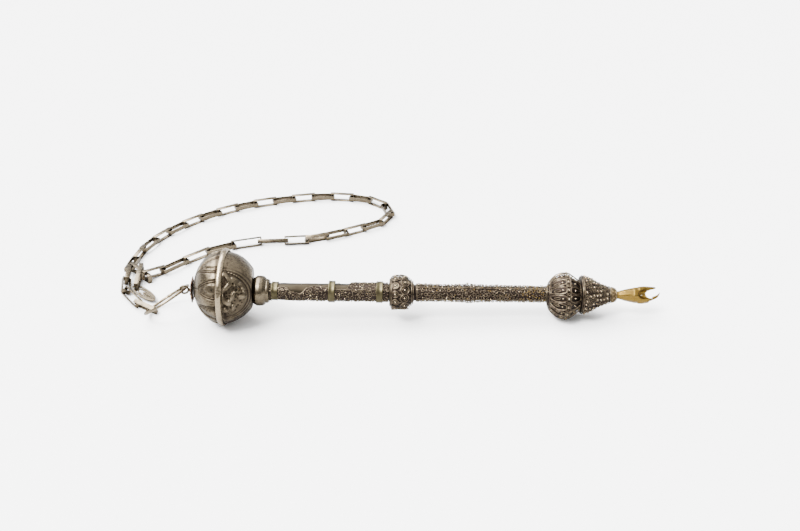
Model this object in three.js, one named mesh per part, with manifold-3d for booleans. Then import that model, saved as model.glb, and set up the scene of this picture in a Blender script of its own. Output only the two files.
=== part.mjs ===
// A silver Torah pointer lying on a table, with its suspension ring and its chain of flat-strip links.
// Lengths are millimetres and +Z is up. The origin is on the table, where the belt of the round knob rests.
// The pointer runs along +X, from the ring and knob to the little pointing hand.
import * as THREE from 'three';
import { mergeVertices } from 'three/addons/utils/BufferGeometryUtils.js';
import Module from 'manifold-3d';

const wasm = await Module();
wasm.setup();

const degrees = THREE.MathUtils.degToRad;

// Clearance between neighbouring pieces, and the depth of the flats worn under the knob and the large knop.
const GAP = 0.3;
const SLEEVE_GAP = 0.3;
const WORN_FLAT = 0.15;

// Round knob: two raised domes, the belt over their seam and the collar below.
const DOME_RADIUS = 20.7;
const OUTER_DOME_HEIGHT = 16.2;
const INNER_DOME_HEIGHT = 20.5;
const DOME_RELIEF = 0.5;
const BELT_WIDTH = 3.2;
const BELT_THICKNESS = 1.2;
const BELT_CROWN = 0.25;
const KNOB_SET_HIGH = 2.1;
const COLLAR_RADIUS = 8.7;
const COLLAR_LENGTH = 8.6;

// Rosette and eye on the knob's outer pole, and the ring hung in the eye.
const ROSETTE_RADIUS = 8.2;
const ROSETTE_THICKNESS = 1.1;
const ROSETTE_CURL = 1.1;
const PETAL_COUNT = 8;
const EYE_RADIUS = 2.35;
const EYE_WIRE = 0.6;
const RING_RADIUS = 14.6;
const RING_WIRE = 0.75;
const RING_AZIMUTH = degrees(158.5);
const RING_TURN = degrees(4.5);
const RING_FOOT_HEIGHT = 2.8;

// Handle tube, the broken filigree sheath on it and the three bands that hold the sheath.
const TUBE_RADIUS = 4.7;
const SHEATH_WALL = 0.6;
const BAND_WALL = 0.4;
const BAND_WIDTH = 3.6;
const BAND_PLACES = [29.9, 62.3, 89.6];

// Middle knop, upper shaft, large ribbed knop, bell and its crown.
const MIDDLE_KNOP_START = 94.9;
const MIDDLE_KNOP_LENGTH = 15.0;
const MIDDLE_KNOP_RADIUS = 9.6;
const MIDDLE_KNOP_NECK = 6.0;
const MIDDLE_BOSSES = 12;
const MIDDLE_BOSS_HEIGHT = 0.6;
const SHAFT_RADIUS = 4.75;
const SHAFT_BEAD = 0.35;
const LARGE_KNOP_START = 186.4;
const LARGE_KNOP_LENGTH = 18.4;
const LARGE_KNOP_RADIUS = 13.6;
const LARGE_KNOP_NECK = 6.4;
const LARGE_KNOP_RIBS = 16;
const RIB_DEPTH = 1.0;
const KNOP_SET_LOW = 0.95;
const BELL_LENGTH = 17.2;
const BELL_MOUTH = 11.0;
const BELL_TIP = 4.7;
const BELL_GRAIN = 0.35;
const CROWN_LENGTH = 3.0;
const CROWN_RADIUS = 4.5;

// Hand: a faceted wrist that opens into a thumb and a longer, hooked finger.
const HAND_LENGTH = 26.0;
const WRIST_RADIUS = 2.1;
const PALM_HALF_HEIGHT = 5.0;
const PALM_HALF_WIDTH = 3.6;
const HAND_ROLL = degrees(-25);

// Chain links, bent from flat strip.
const LINK_WIDTH = 5.4;
const LINK_STRIP = 2.6;
const LINK_WALL = 0.6;
const LINK_SLACK = 1.3;
const LINK_CORNER = 1.1;
const LONG_LINK_RATIO = 1.28;

// Oval clasp lying on the pile of links.
const CLASP_LENGTH = 23.0;
const CLASP_WIDTH = 7.6;
const CLASP_THICKNESS = 1.0;
const CLASP_WIRE = 1.1;
const CLASP_INNER_LENGTH = 13.0;
const CLASP_INNER_WIDTH = 4.0;
const CLASP_END = [-58.15, 36.7];
const CLASP_HEIGHT = 1.5;
const CLASP_HEADING = -49;

// Places that follow from the sizes above.
const beltRadius = DOME_RADIUS + SLEEVE_GAP + BELT_THICKNESS;
const knobAxisHeight = beltRadius - WORN_FLAT - KNOB_SET_HIGH;
const largeKnopCentre = LARGE_KNOP_START + LARGE_KNOP_LENGTH * 0.56;
const knopAxisHeight = LARGE_KNOP_RADIUS - WORN_FLAT + KNOP_SET_LOW;
const axisTilt = Math.asin((knobAxisHeight - knopAxisHeight) / largeKnopCentre);
const collarStart = INNER_DOME_HEIGHT * Math.sqrt(1 - (COLLAR_RADIUS / DOME_RADIUS) ** 2) - 1.0;
const tubeStart = collarStart + COLLAR_LENGTH + GAP;
const tubeEnd = MIDDLE_KNOP_START - GAP;
const sheathInner = TUBE_RADIUS + SLEEVE_GAP;
const sheathOuter = sheathInner + SHEATH_WALL;
const shaftStart = MIDDLE_KNOP_START + MIDDLE_KNOP_LENGTH + GAP;
const shaftEnd = LARGE_KNOP_START - GAP;
const bellStart = LARGE_KNOP_START + LARGE_KNOP_LENGTH + GAP;
const crownStart = bellStart + BELL_LENGTH + GAP;
const handStart = crownStart + CROWN_LENGTH + GAP;

// The belt's lowest point stands on the origin although the pointer leans.
const pointerFrame = new THREE.Matrix4()
  .makeTranslation((beltRadius - KNOB_SET_HIGH) * Math.sin(axisTilt), 0, knobAxisHeight)
  .multiply(new THREE.Matrix4().makeRotationY(axisTilt));

// Finishes.
const METALNESS = 1;
const finish = (color, roughness) => new THREE.MeshStandardMaterial({
  color,
  roughness,
  metalness: METALNESS,
});
const silver = () => finish(0x9c9284, 0.34);
const filigree = () => finish(0x5f564c, 0.5);
const gilt = () => finish(0xb08a3e, 0.36);
const bandMetal = () => finish(0xb3a06a, 0.4);
const darkMetal = () => finish(0x4b4038, 0.55);
const chainMetal = () => finish(0x8f867b, 0.38);

// Turning a closed mesh into a solid that can be cut, and back.
function solidOf(geometry) {
  const bare = geometry.clone();
  bare.deleteAttribute('normal');
  bare.deleteAttribute('uv');
  const merged = mergeVertices(bare, 1e-4);
  return new wasm.Manifold(new wasm.Mesh({
    numProp: 3,
    vertProperties: new Float32Array(merged.attributes.position.array),
    triVerts: new Uint32Array(merged.index.array),
  }));
}

function geometryOf(solid) {
  const mesh = solid.getMesh();
  const geometry = new THREE.BufferGeometry();
  geometry.setAttribute('position', new THREE.BufferAttribute(new Float32Array(mesh.vertProperties), 3));
  geometry.setIndex(new THREE.BufferAttribute(new Uint32Array(mesh.triVerts), 1));
  return geometry;
}

function piece(name, geometry, material) {
  const mesh = new THREE.Mesh(geometry, material);
  mesh.name = name;
  return mesh;
}

// Rings of points, each as long as the last, joined into one closed skin. Its ends are closed by fans about
// their middles, or across a curved strip, or the skin runs round from its last ring to its first.
function skin(rings, ends = 'fan') {
  const count = rings[0].length;
  const positions = rings.flat().flatMap((p) => [p.x, p.y, p.z]);
  const index = [];
  const steps = ends === 'endless' ? rings.length : rings.length - 1;
  for (let i = 0; i < steps; i += 1) {
    const low = i * count;
    const high = ((i + 1) % rings.length) * count;
    for (let j = 0; j < count; j += 1) {
      const next = (j + 1) % count;
      index.push(low + j, low + next, high + next, low + j, high + next, high + j);
    }
  }
  const close = (a, b, c, flipped) => index.push(a, flipped ? c : b, flipped ? b : c);
  const last = (rings.length - 1) * count;
  for (const [first, flipped] of ends === 'endless' ? [] : [[0, true], [last, false]]) {
    if (ends === 'strip') {
      for (let j = 0; j < count / 2 - 1; j += 1) {
        const across = first + count - 1 - j;
        close(first + j, first + j + 1, across, flipped);
        close(first + j + 1, across - 1, across, flipped);
      }
    } else {
      const ring = rings[first / count];
      const centre = ring.reduce((sum, p) => sum.add(p), new THREE.Vector3()).divideScalar(count);
      const hub = positions.length / 3;
      positions.push(centre.x, centre.y, centre.z);
      for (let j = 0; j < count; j += 1) close(hub, first + j, first + ((j + 1) % count), flipped);
    }
  }
  const geometry = new THREE.BufferGeometry();
  geometry.setAttribute('position', new THREE.BufferAttribute(new Float32Array(positions), 3));
  geometry.setIndex(index);
  return facingOut(geometry);
}

function facingOut(geometry) {
  const p = geometry.attributes.position;
  const index = geometry.index;
  const [a, b, c] = [new THREE.Vector3(), new THREE.Vector3(), new THREE.Vector3()];
  let volume = 0;
  for (let i = 0; i < index.count; i += 3) {
    a.fromBufferAttribute(p, index.getX(i));
    b.fromBufferAttribute(p, index.getX(i + 1));
    c.fromBufferAttribute(p, index.getX(i + 2));
    volume += a.dot(b.cross(c));
  }
  if (volume < 0) {
    for (let i = 0; i < index.count; i += 3) {
      const second = index.getX(i + 1);
      index.setX(i + 1, index.getX(i + 2));
      index.setX(i + 2, second);
    }
  }
  return geometry;
}

// A point off the axis. Turn 0 is upwards and a quarter turn is towards the viewer (-Y).
function aroundAxis(x, radius, turn) {
  return new THREE.Vector3(x, -radius * Math.sin(turn), radius * Math.cos(turn));
}

// A body turned about the axis from [x, radius] stations, with a relief added to its radius.
function turned(stations, sides, relief = () => 0) {
  return skin(stations.map(([x, radius]) => Array.from({ length: sides }, (_, j) => {
    const turn = (j / sides) * 2 * Math.PI;
    return aroundAxis(x, radius + relief(x, turn), turn);
  })));
}

// A ring of closed section, turned about the axis.
function hoop(section, sides) {
  const rings = Array.from({ length: sides }, (_, j) => {
    const turn = (j / sides) * 2 * Math.PI;
    return section.map(([x, radius]) => aroundAxis(x, radius, turn));
  });
  return skin(rings, 'endless');
}

// Stations along a smooth profile given by a function of 0 to 1.
function stationsOf(start, length, steps, radiusAt, ease = (u) => u) {
  return Array.from({ length: steps + 1 }, (_, i) => {
    const u = ease(i / steps);
    return [start + length * u, radiusAt(u)];
  });
}

// Everything below the table, as a block in the pointer's own frame, takes the worn flats off.
function restOnTable(geometry, offset) {
  const depth = 20;
  const block = new THREE.BoxGeometry(600, 200, depth).translate(0, 0, -depth / 2);
  block.applyMatrix4(new THREE.Matrix4().makeTranslation(-offset.x, -offset.y, -offset.z)
    .multiply(pointerFrame.clone().invert()));
  return geometryOf(solidOf(geometry).subtract(solidOf(block)));
}

// A soft-edged mask: 1 inside, 0 outside, over a band of the given width.
const within = (distance, softness) => THREE.MathUtils.clamp(0.5 - distance / softness, 0, 1);

// The domes. The outer one has raised pointed petals, the inner one has oval medallions.
function outerDome() {
  const petals = 4;
  const radiusAt = (u) => DOME_RADIUS * Math.sqrt(Math.max(0.04, 1 - (1 - u) ** 2));
  const relief = (x, turn) => {
    const height = -x / OUTER_DOME_HEIGHT;
    const spread = Math.abs(((turn / (2 * Math.PI)) * petals + 10.5) % 1 - 0.5) * 2;
    return -DOME_RELIEF * within(spread - 0.75 * (1 - height ** 2), 0.3) * within(height - 0.85, 0.2);
  };
  const length = OUTER_DOME_HEIGHT - GAP / 2;
  const stations = stationsOf(-OUTER_DOME_HEIGHT, length, 7, radiusAt, (u) => u ** 1.6);
  return turned(stations, 36, relief);
}

function innerDome() {
  const medallions = 4;
  const end = collarStart - GAP;
  const radiusAt = (u) => DOME_RADIUS * Math.sqrt(1 - ((end * u) / INNER_DOME_HEIGHT) ** 2);
  const relief = (x, turn) => {
    const along = (x / end - 0.48) / 0.36;
    const spread = (Math.abs(((turn / (2 * Math.PI)) * medallions + 10) % 1 - 0.5) * 2) / 0.62;
    return DOME_RELIEF * within(Math.hypot(along, spread) - 1, 0.5);
  };
  const closer = (u) => Math.sin((u * Math.PI) / 2);
  return turned(stationsOf(GAP / 2, end - GAP / 2, 7, radiusAt, closer), 36, relief);
}

function belt() {
  const half = BELT_WIDTH / 2;
  const inside = DOME_RADIUS + SLEEVE_GAP;
  const edge = beltRadius - BELT_CROWN;
  return hoop([[-half, inside], [-half, edge], [0, beltRadius], [half, edge], [half, inside]], 36);
}

function collar() {
  const profile = (u) => COLLAR_RADIUS * (0.72 + 0.28 * Math.sin(Math.PI * Math.min(1, u * 1.12)));
  return turned(stationsOf(collarStart, COLLAR_LENGTH, 7, profile), 20);
}

// The rosette: scalloped petals, curled away from the knob, with a raised middle.
function rosette() {
  const back = -OUTER_DOME_HEIGHT - GAP;
  const sides = PETAL_COUNT * 5;
  const ring = (share, lift) => Array.from({ length: sides }, (_, j) => {
    const turn = (j / sides) * 2 * Math.PI;
    const scallop = 1 - 0.2 * share * (1 - Math.abs(Math.cos((turn * PETAL_COUNT) / 2)));
    return aroundAxis(back - lift, ROSETTE_RADIUS * share * scallop, turn);
  });
  const rim = ROSETTE_CURL + ROSETTE_THICKNESS / 2;
  return skin([
    ring(0.5, 0),
    ring(1, ROSETTE_CURL / 2),
    ring(1, rim),
    ring(0.45, ROSETTE_THICKNESS),
    ring(0.25, rim),
  ]);
}

// The eye is a wire loop whose stem stands on the rosette.
const rosetteFront = -OUTER_DOME_HEIGHT - GAP - ROSETTE_CURL - ROSETTE_THICKNESS / 2;
const eyeCentre = new THREE.Vector3(rosetteFront - GAP - EYE_RADIUS - EYE_WIRE - 0.4, 0, 0);

function eye() {
  const loop = new THREE.TorusGeometry(EYE_RADIUS, EYE_WIRE, 6, 14).rotateX(Math.PI / 2);
  const stemLength = 1.3;
  const stem = new THREE.CylinderGeometry(1.1, 1.1, stemLength, 10).rotateZ(Math.PI / 2);
  stem.translate(EYE_RADIUS + EYE_WIRE + 0.4 - stemLength / 2, 0, 0);
  return geometryOf(solidOf(loop).add(solidOf(stem))).translate(eyeCentre.x, eyeCentre.y, eyeCentre.z);
}

// The ring hangs in the eye and leans on the table, so its far point is found from its own diameter.
function suspensionRing() {
  const top = eyeCentre.clone().add(new THREE.Vector3(-0.55, 0, -0.2)).applyMatrix4(pointerFrame);
  const drop = top.z - RING_FOOT_HEIGHT;
  const reach = Math.sqrt((2 * RING_RADIUS) ** 2 - drop ** 2);
  const foot = new THREE.Vector3(Math.cos(RING_AZIMUTH), Math.sin(RING_AZIMUTH), 0).multiplyScalar(reach);
  foot.add(top).setZ(RING_FOOT_HEIGHT);
  const down = foot.clone().sub(top).normalize();
  const across = new THREE.Vector3(-down.y, down.x, 0).normalize().applyAxisAngle(down, RING_TURN);
  const frame = new THREE.Matrix4().makeBasis(down, across, down.clone().cross(across));
  frame.setPosition(top.clone().add(foot).multiplyScalar(0.5));
  return new THREE.TorusGeometry(RING_RADIUS, RING_WIRE, 8, 29).applyMatrix4(frame);
}

function handleTube() {
  return turned([[tubeStart, TUBE_RADIUS], [tubeEnd, TUBE_RADIUS]], 24);
}

// The sheath is a broken shell: at each place along the handle it covers the tube from one turn to another.
function brokenShell(edges) {
  const steps = 12;
  const rings = edges.map(([x, from, to]) => {
    const arc = (radius) => Array.from({ length: steps + 1 }, (_, i) => aroundAxis(x, radius,
      degrees(THREE.MathUtils.lerp(from, to, i / steps))));
    return [...arc(sheathOuter), ...arc(sheathInner - SHEATH_WALL).reverse()];
  });
  const bore = turned([[tubeStart - 1, sheathInner + 0.05], [tubeEnd + 1, sheathInner + 0.05]], 24);
  return geometryOf(solidOf(skin(rings, 'strip')).subtract(solidOf(bore)));
}

function sheathStub() {
  return brokenShell([
    [tubeStart + GAP, 52, 205],
    [tubeStart + 0.6, 42, 190],
    [BAND_PLACES[0] - BAND_WIDTH / 2 - GAP, 58, 178],
  ]);
}

function sheath() {
  const start = BAND_PLACES[0] + BAND_WIDTH / 2 + GAP;
  const end = tubeEnd - GAP;
  return brokenShell([
    [start, 38, 126],
    [start + 4, 36, 132],
    [start + 7, 62, 139],
    [start + 11.5, 76, 178],
    [start + 14, 66, 208],
    [start + 16, 42, 236],
    [start + 21, 24, 262],
    [start + 26, 33, 282],
    [start + 33, 47, 300],
    [start + 39, 45, 290],
    [start + 41, -12, 296],
    [start + 47, -44, 302],
    [end, -48, 306],
  ]);
}

function band(place, inside) {
  const half = BAND_WIDTH / 2;
  const outside = inside + BAND_WALL;
  const [first, last] = [place - half, place + half];
  return hoop([[first, inside], [first, outside], [last, outside], [last, inside]], 24);
}

// Knops. Bosses stand where the wire circles are, and ribs run from pole to pole of the large knop.
function middleKnop() {
  const radiusAt = (u) => MIDDLE_KNOP_NECK
    + (MIDDLE_KNOP_RADIUS - MIDDLE_KNOP_NECK) * Math.sin(Math.PI * u ** 0.8) ** 0.55;
  const relief = (x, turn) => {
    const u = (x - MIDDLE_KNOP_START) / MIDDLE_KNOP_LENGTH;
    const bulge = Math.sin(Math.PI * THREE.MathUtils.clamp(u * 1.1, 0, 1)) ** 2;
    return MIDDLE_BOSS_HEIGHT * bulge * Math.abs(Math.cos((turn * MIDDLE_BOSSES) / 2));
  };
  return turned(stationsOf(MIDDLE_KNOP_START, MIDDLE_KNOP_LENGTH, 8, radiusAt), MIDDLE_BOSSES * 3, relief);
}

function largeKnopRadius(u) {
  const equator = (largeKnopCentre - LARGE_KNOP_START) / LARGE_KNOP_LENGTH;
  const v = u < equator ? (equator - u) / equator : (u - equator) / (1 - equator);
  const neck = u < equator ? LARGE_KNOP_NECK : LARGE_KNOP_NECK + 2.4;
  return neck + (LARGE_KNOP_RADIUS - neck) * Math.sqrt(1 - 0.98 * v ** 2);
}

function largeKnop() {
  const relief = (x, turn) => {
    const u = (x - LARGE_KNOP_START) / LARGE_KNOP_LENGTH;
    const swell = Math.sin(Math.PI * THREE.MathUtils.clamp(u, 0, 1));
    return -RIB_DEPTH * swell * (1 - Math.abs(Math.cos((turn * LARGE_KNOP_RIBS) / 2)));
  };
  const stations = stationsOf(LARGE_KNOP_START, LARGE_KNOP_LENGTH, 8, largeKnopRadius);
  const body = turned(stations, LARGE_KNOP_RIBS * 3, relief);
  return restOnTable(body, new THREE.Vector3(0, 0, -KNOP_SET_LOW));
}

// The upper shaft is wire work over its whole length, with a beaded node halfway.
function upperShaft() {
  const steps = 12;
  const radiusAt = (u) => SHAFT_RADIUS - 0.35 * u + 0.5 * Math.exp(-(((u - 0.42) / 0.05) ** 2));
  const wave = (angle) => 0.5 + 0.5 * Math.cos(angle);
  const relief = (x, turn) => SHAFT_BEAD * wave(turn * 8) * wave(x * 1.3);
  return turned(stationsOf(shaftStart, shaftEnd - shaftStart, steps, radiusAt), 16, relief);
}

function bell() {
  const radiusAt = (u) => BELL_TIP + (BELL_MOUTH - BELL_TIP) * (1 / (1 + Math.exp((u - 0.47) * 9)) * 1.03);
  const relief = (x, turn) => {
    const u = (x - bellStart) / BELL_LENGTH;
    return BELL_GRAIN * Math.cos(turn * 12) * Math.cos(u * Math.PI * 5);
  };
  return turned(stationsOf(bellStart, BELL_LENGTH, 10, radiusAt), 24, relief);
}

function crown() {
  const radiusAt = (u) => CROWN_RADIUS * (1 - 0.18 * u) * (0.92 + 0.08 * Math.sin(Math.PI * u));
  const relief = (x, turn) => 0.2 * Math.cos(turn * 10);
  return turned(stationsOf(crownStart, CROWN_LENGTH, 2, radiusAt), 20, relief);
}

// The hand, in its own frame: X runs along the pointer, Z across the fork from thumb to finger.
function handSection(x, rise, halfHeight, halfWidth, corners = 8) {
  return Array.from({ length: corners }, (_, j) => {
    const turn = ((j + 0.5) / corners) * 2 * Math.PI;
    return new THREE.Vector3(x, halfWidth * Math.sin(turn), rise + halfHeight * Math.cos(turn));
  });
}

function hand() {
  // Rows are shares of the hand's length, and of the palm's half height and half width.
  const loft = (rows) => solidOf(skin(rows.map(([share, rise, halfHeight, halfWidth]) => handSection(
    handStart + HAND_LENGTH * share,
    PALM_HALF_HEIGHT * rise,
    PALM_HALF_HEIGHT * halfHeight,
    PALM_HALF_WIDTH * halfWidth,
  ))));
  const wristHeight = WRIST_RADIUS / PALM_HALF_HEIGHT;
  const wristWidth = WRIST_RADIUS / PALM_HALF_WIDTH;
  const wrist = loft([
    [0, 0, wristHeight, wristWidth],
    [0.08, 0, wristHeight * 1.15, wristWidth * 1.1],
    [0.24, 0, 0.72, 0.85],
    [0.42, 0, 0.9, 1],
    [0.57, 0, 1, 0.95],
    [0.66, 0, 0.95, 0.8],
    [0.74, 0, 0.84, 0.66],
  ]);
  const gap = loft([
    [0.68, 0.2, 0.12, 0.5],
    [0.71, 0.18, 0.4, 1.3],
    [0.78, 0.16, 0.5, 1.4],
  ]);
  const hollow = solidOf(new THREE.SphereGeometry(1, 10, 6)
    .scale(HAND_LENGTH * 0.14, PALM_HALF_WIDTH * 0.75, PALM_HALF_HEIGHT * 0.52)
    .translate(handStart + HAND_LENGTH * 0.63, -PALM_HALF_WIDTH, PALM_HALF_HEIGHT * 0.16));
  const thumb = loft([
    [0.52, 0.7, 0.3, 0.66],
    [0.62, 0.8, 0.25, 0.55],
    [0.74, 0.82, 0.19, 0.4],
    [0.87, 0.85, 0.1, 0.22],
  ]);
  const finger = loft([
    [0.52, -0.6, 0.4, 0.7],
    [0.64, -0.58, 0.32, 0.56],
    [0.75, -0.46, 0.23, 0.42],
    [0.87, -0.27, 0.17, 0.3],
    [0.945, -0.06, 0.16, 0.24],
    [0.99, 0.28, 0.09, 0.14],
  ]);
  return geometryOf(wrist.add(thumb).add(finger).subtract(gap).subtract(hollow)).rotateX(HAND_ROLL);
}

// A chain link: a frame of strip with clipped corners, lying in its own XY plane and centred on the origin.
function linkGeometry(length) {
  const quarters = [[1, 1], [-1, 1], [-1, -1], [1, -1]];
  const clipped = (halfLength, halfWidth, corner) => quarters.flatMap(([sx, sy]) => {
    const alongEdge = new THREE.Vector2(sx * halfLength, sy * (halfWidth - corner));
    const acrossEdge = new THREE.Vector2(sx * (halfLength - corner), sy * halfWidth);
    return sx * sy > 0 ? [alongEdge, acrossEdge] : [acrossEdge, alongEdge];
  });
  const halfLength = length / 2;
  const halfWidth = LINK_WIDTH / 2;
  const frame = new THREE.Shape(clipped(halfLength, halfWidth, LINK_CORNER));
  const opening = clipped(halfLength - LINK_WALL, halfWidth - LINK_WALL, LINK_CORNER * 0.4);
  frame.holes.push(new THREE.Path(opening));
  const strip = new THREE.ExtrudeGeometry(frame, { depth: LINK_STRIP, bevelEnabled: false });
  return strip.translate(0, 0, -LINK_STRIP / 2);
}

// A heading over the table, in degrees from +X, as a direction.
function directionOf(heading) {
  const angle = degrees(heading);
  return new THREE.Vector3(Math.cos(angle), Math.sin(angle), 0);
}

// How far a link reaches past the joint at each of its ends.
const jointReach = LINK_WALL + LINK_SLACK / 2;

function placeLink(mesh, centre, heading, climb, roll) {
  mesh.position.copy(centre);
  mesh.rotation.order = 'ZYX';
  mesh.rotation.set(roll, -climb, heading);
  return mesh;
}

// The height of a link's middle when it lies on the table, rolled about its length.
function restingHeight(roll) {
  const edge = (LINK_WIDTH / 2) * Math.abs(Math.sin(roll)) + (LINK_STRIP / 2) * Math.abs(Math.cos(roll));
  return Math.max(LINK_WIDTH / 2, edge);
}

// The chain's route over the table, from the first link round its loop and back to the pile, as it lies.
const ROUTE = [
  [-64.2, 55.6], [-58.4, 84], [-44.5, 107.5], [-24.5, 127], [-1, 141.5], [25, 150],
  [51, 154.5], [73, 152.5], [89, 145.5], [98.5, 132], [94.5, 117.5], [80, 107.5],
  [62, 98.5], [42, 91.5], [14, 90.5], [-16, 79], [-42.6, 53.9],
];
const SHORT_LINKS = 23;
const LONG_LINKS = 5;
const TWIST_START = 20;
const TWIST_STEP = degrees(-15);
const TWISTED_JOINTS = 6;

const routePoints = ROUTE.map(([x, y]) => new THREE.Vector3(x, y, 0));
const route = new THREE.CatmullRomCurve3(routePoints, false, 'centripetal');

// Joints along the route at a given pitch, each a straight link apart.
function walk(pitch) {
  const samples = route.getPoints(4000);
  const joints = [samples[0]];
  let next = 0;
  for (let i = 0; i < SHORT_LINKS + LONG_LINKS; i += 1) {
    const step = i < SHORT_LINKS ? pitch : pitch * LONG_LINK_RATIO;
    const from = joints[joints.length - 1];
    while (next < samples.length && samples[next].distanceTo(from) < step) next += 1;
    if (next === samples.length) return null;
    joints.push(samples[next]);
  }
  return joints;
}

// The longest pitch whose last joint still lies on the route.
function fittedPitch() {
  let [low, high] = [route.getLength() / 60, route.getLength() / 20];
  for (let i = 0; i < 40; i += 1) {
    const middle = (low + high) / 2;
    if (walk(middle)) low = middle;
    else high = middle;
  }
  return low;
}

const linkPitch = fittedPitch();
const shortLink = linkPitch + 2 * jointReach;
const longLink = linkPitch * LONG_LINK_RATIO + 2 * jointReach;

function linkMesh(number, length) {
  return piece(`chain_link_${String(number).padStart(2, '0')}`, linkGeometry(length), chainMetal());
}

function chainRun() {
  const joints = walk(linkPitch);
  return joints.slice(1).map((end, i) => {
    const start = joints[i];
    const twist = THREE.MathUtils.clamp(i + 1 - TWIST_START, 0, TWISTED_JOINTS) * TWIST_STEP;
    const roll = (i % 2) * (Math.PI / 2) + twist;
    const heading = Math.atan2(end.y - start.y, end.x - start.x);
    const centre = start.clone().add(end).multiplyScalar(0.5).setZ(restingHeight(roll));
    return placeLink(linkMesh(i + 1, i < SHORT_LINKS ? shortLink : longLink), centre, heading, 0, roll);
  });
}

// The other end of the chain: four links from the first one to the ring, turned a little at every joint.
const TAIL_START = [-64.2, 55.5];
const TAIL = [
  { long: false, heading: -86, roll: 77 },
  { long: false, heading: -82, roll: 150 },
  { long: true, heading: -56, roll: 46 },
  { long: false, heading: -37, roll: 121 },
];
const TAIL_FIRST_NUMBER = 29;

function chainTail() {
  const joint = new THREE.Vector3(...TAIL_START, restingHeight(degrees(60)));
  return TAIL.map(({ long, heading, roll }, i) => {
    const length = long ? longLink : shortLink;
    const along = directionOf(heading);
    const centre = joint.clone().addScaledVector(along, length / 2 - jointReach);
    joint.addScaledVector(along, length - 2 * jointReach);
    return placeLink(linkMesh(TAIL_FIRST_NUMBER + i, length), centre, degrees(heading), 0, degrees(roll));
  });
}

// The joining link stands on edge from inside the first link, and two raised links are hooked over its
// upper edge: the end of the loop, and the link that carries the clasp.
const JOINING_LENGTH = 22.5;
const JOINING_END = [-63.3, 60.2];
const JOINING_HEADING = -50.5;
const HOOKS = [
  { number: 34, length: shortLink, share: 0.8, beyond: 2.45, heading: 42, climb: -6.5 },
  { number: 35, length: JOINING_LENGTH, share: 0.5, beyond: 4.7, heading: -90, climb: -4 },
];

function joiningLinks() {
  const end = new THREE.Vector3(...JOINING_END, 0);
  const along = directionOf(JOINING_HEADING);
  const onLink = (share) => end.clone().addScaledVector(along, JOINING_LENGTH * share);
  const standing = degrees(90);
  const middle = onLink(0.5).setZ(LINK_WIDTH / 2);
  const joining = linkMesh(33, JOINING_LENGTH);
  placeLink(joining, middle, degrees(JOINING_HEADING), 0, standing);
  return [joining, ...HOOKS.map(({ number, length, share, beyond, heading, climb }) => {
    const centre = onLink(share).addScaledVector(directionOf(heading), length / 2 - beyond);
    const rise = (length / 2) * Math.sin(degrees(Math.abs(climb)));
    centre.setZ(LINK_WIDTH / 2 + rise + 0.1);
    return placeLink(linkMesh(number, length), centre, degrees(heading), degrees(climb), standing);
  })];
}

// The clasp: a flat oval of wire with a smaller oval fixed inside one end.
function clasp() {
  const oval = (length, width, wire) => {
    const outline = (l, w) => Array.from({ length: 20 }, (_, j) => {
      const turn = (j / 20) * 2 * Math.PI;
      const across = Math.sign(Math.sin(turn)) * Math.abs(Math.sin(turn)) ** 0.85;
      return new THREE.Vector2((l / 2) * Math.cos(turn), (w / 2) * across);
    });
    const shape = new THREE.Shape(outline(length, width));
    shape.holes.push(new THREE.Path(outline(length - 2 * wire, width - 2 * wire)));
    return new THREE.ExtrudeGeometry(shape, { depth: CLASP_THICKNESS, bevelEnabled: false });
  };
  const outer = solidOf(oval(CLASP_LENGTH, CLASP_WIDTH, CLASP_WIRE));
  const inner = solidOf(oval(CLASP_INNER_LENGTH, CLASP_INNER_WIDTH, CLASP_WIRE * 0.8));
  const shift = CLASP_LENGTH / 2 - CLASP_INNER_LENGTH / 2 - CLASP_WIRE * 0.6;
  return geometryOf(outer.add(inner.translate([shift, 0, 0])));
}

const pointer = new THREE.Group();
pointer.applyMatrix4(pointerFrame);
const knobParts = new THREE.Group();
knobParts.position.z = KNOB_SET_HIGH;
knobParts.add(
  piece('knob_outer_dome', outerDome(), silver()),
  piece('knob_inner_dome', innerDome(), silver()),
  piece('knob_belt', restOnTable(belt(), new THREE.Vector3(0, 0, KNOB_SET_HIGH)), silver()),
);
const largeKnopMesh = piece('large_knop', largeKnop(), filigree());
largeKnopMesh.position.z = -KNOP_SET_LOW;
pointer.add(
  knobParts,
  piece('rosette', rosette(), darkMetal()),
  piece('ring_eye', eye(), silver()),
  piece('knob_collar', collar(), silver()),
  piece('handle_tube', handleTube(), silver()),
  piece('filigree_sheath_stub', sheathStub(), filigree()),
  piece('filigree_sheath', sheath(), filigree()),
  piece('middle_knop', middleKnop(), filigree()),
  piece('upper_shaft', upperShaft(), filigree()),
  largeKnopMesh,
  piece('bell', bell(), filigree()),
  piece('bell_crown', crown(), gilt()),
  piece('pointing_hand', hand(), gilt()),
);
BAND_PLACES.forEach((place, i) => {
  const inside = i === 0 ? TUBE_RADIUS + SLEEVE_GAP : sheathOuter + SLEEVE_GAP;
  pointer.add(piece(`band_${i + 1}`, band(place, inside), bandMetal()));
});

const claspEnd = new THREE.Vector3(...CLASP_END, CLASP_HEIGHT);
const claspCentre = claspEnd.addScaledVector(directionOf(CLASP_HEADING), CLASP_LENGTH / 2);
const claspMesh = piece('oval_clasp', clasp(), silver());
placeLink(claspMesh, claspCentre, degrees(CLASP_HEADING), 0, 0);

const model = new THREE.Group();
model.add(
  pointer,
  piece('suspension_ring', suspensionRing(), silver()),
  claspMesh,
  ...chainRun(),
  ...chainTail(),
  ...joiningLinks(),
);

export default model;
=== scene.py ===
"""Dresses a silver Torah pointer, its ring and its chain with modelled detail and worn metal."""
import random
from math import acos, atan2, copysign, cos, exp, pi, radians, sin, sqrt

import bmesh
import bpy
import numpy as np
from bpy.props import FloatProperty, FloatVectorProperty, IntProperty, PointerProperty
from mathutils import Matrix, Vector


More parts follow.
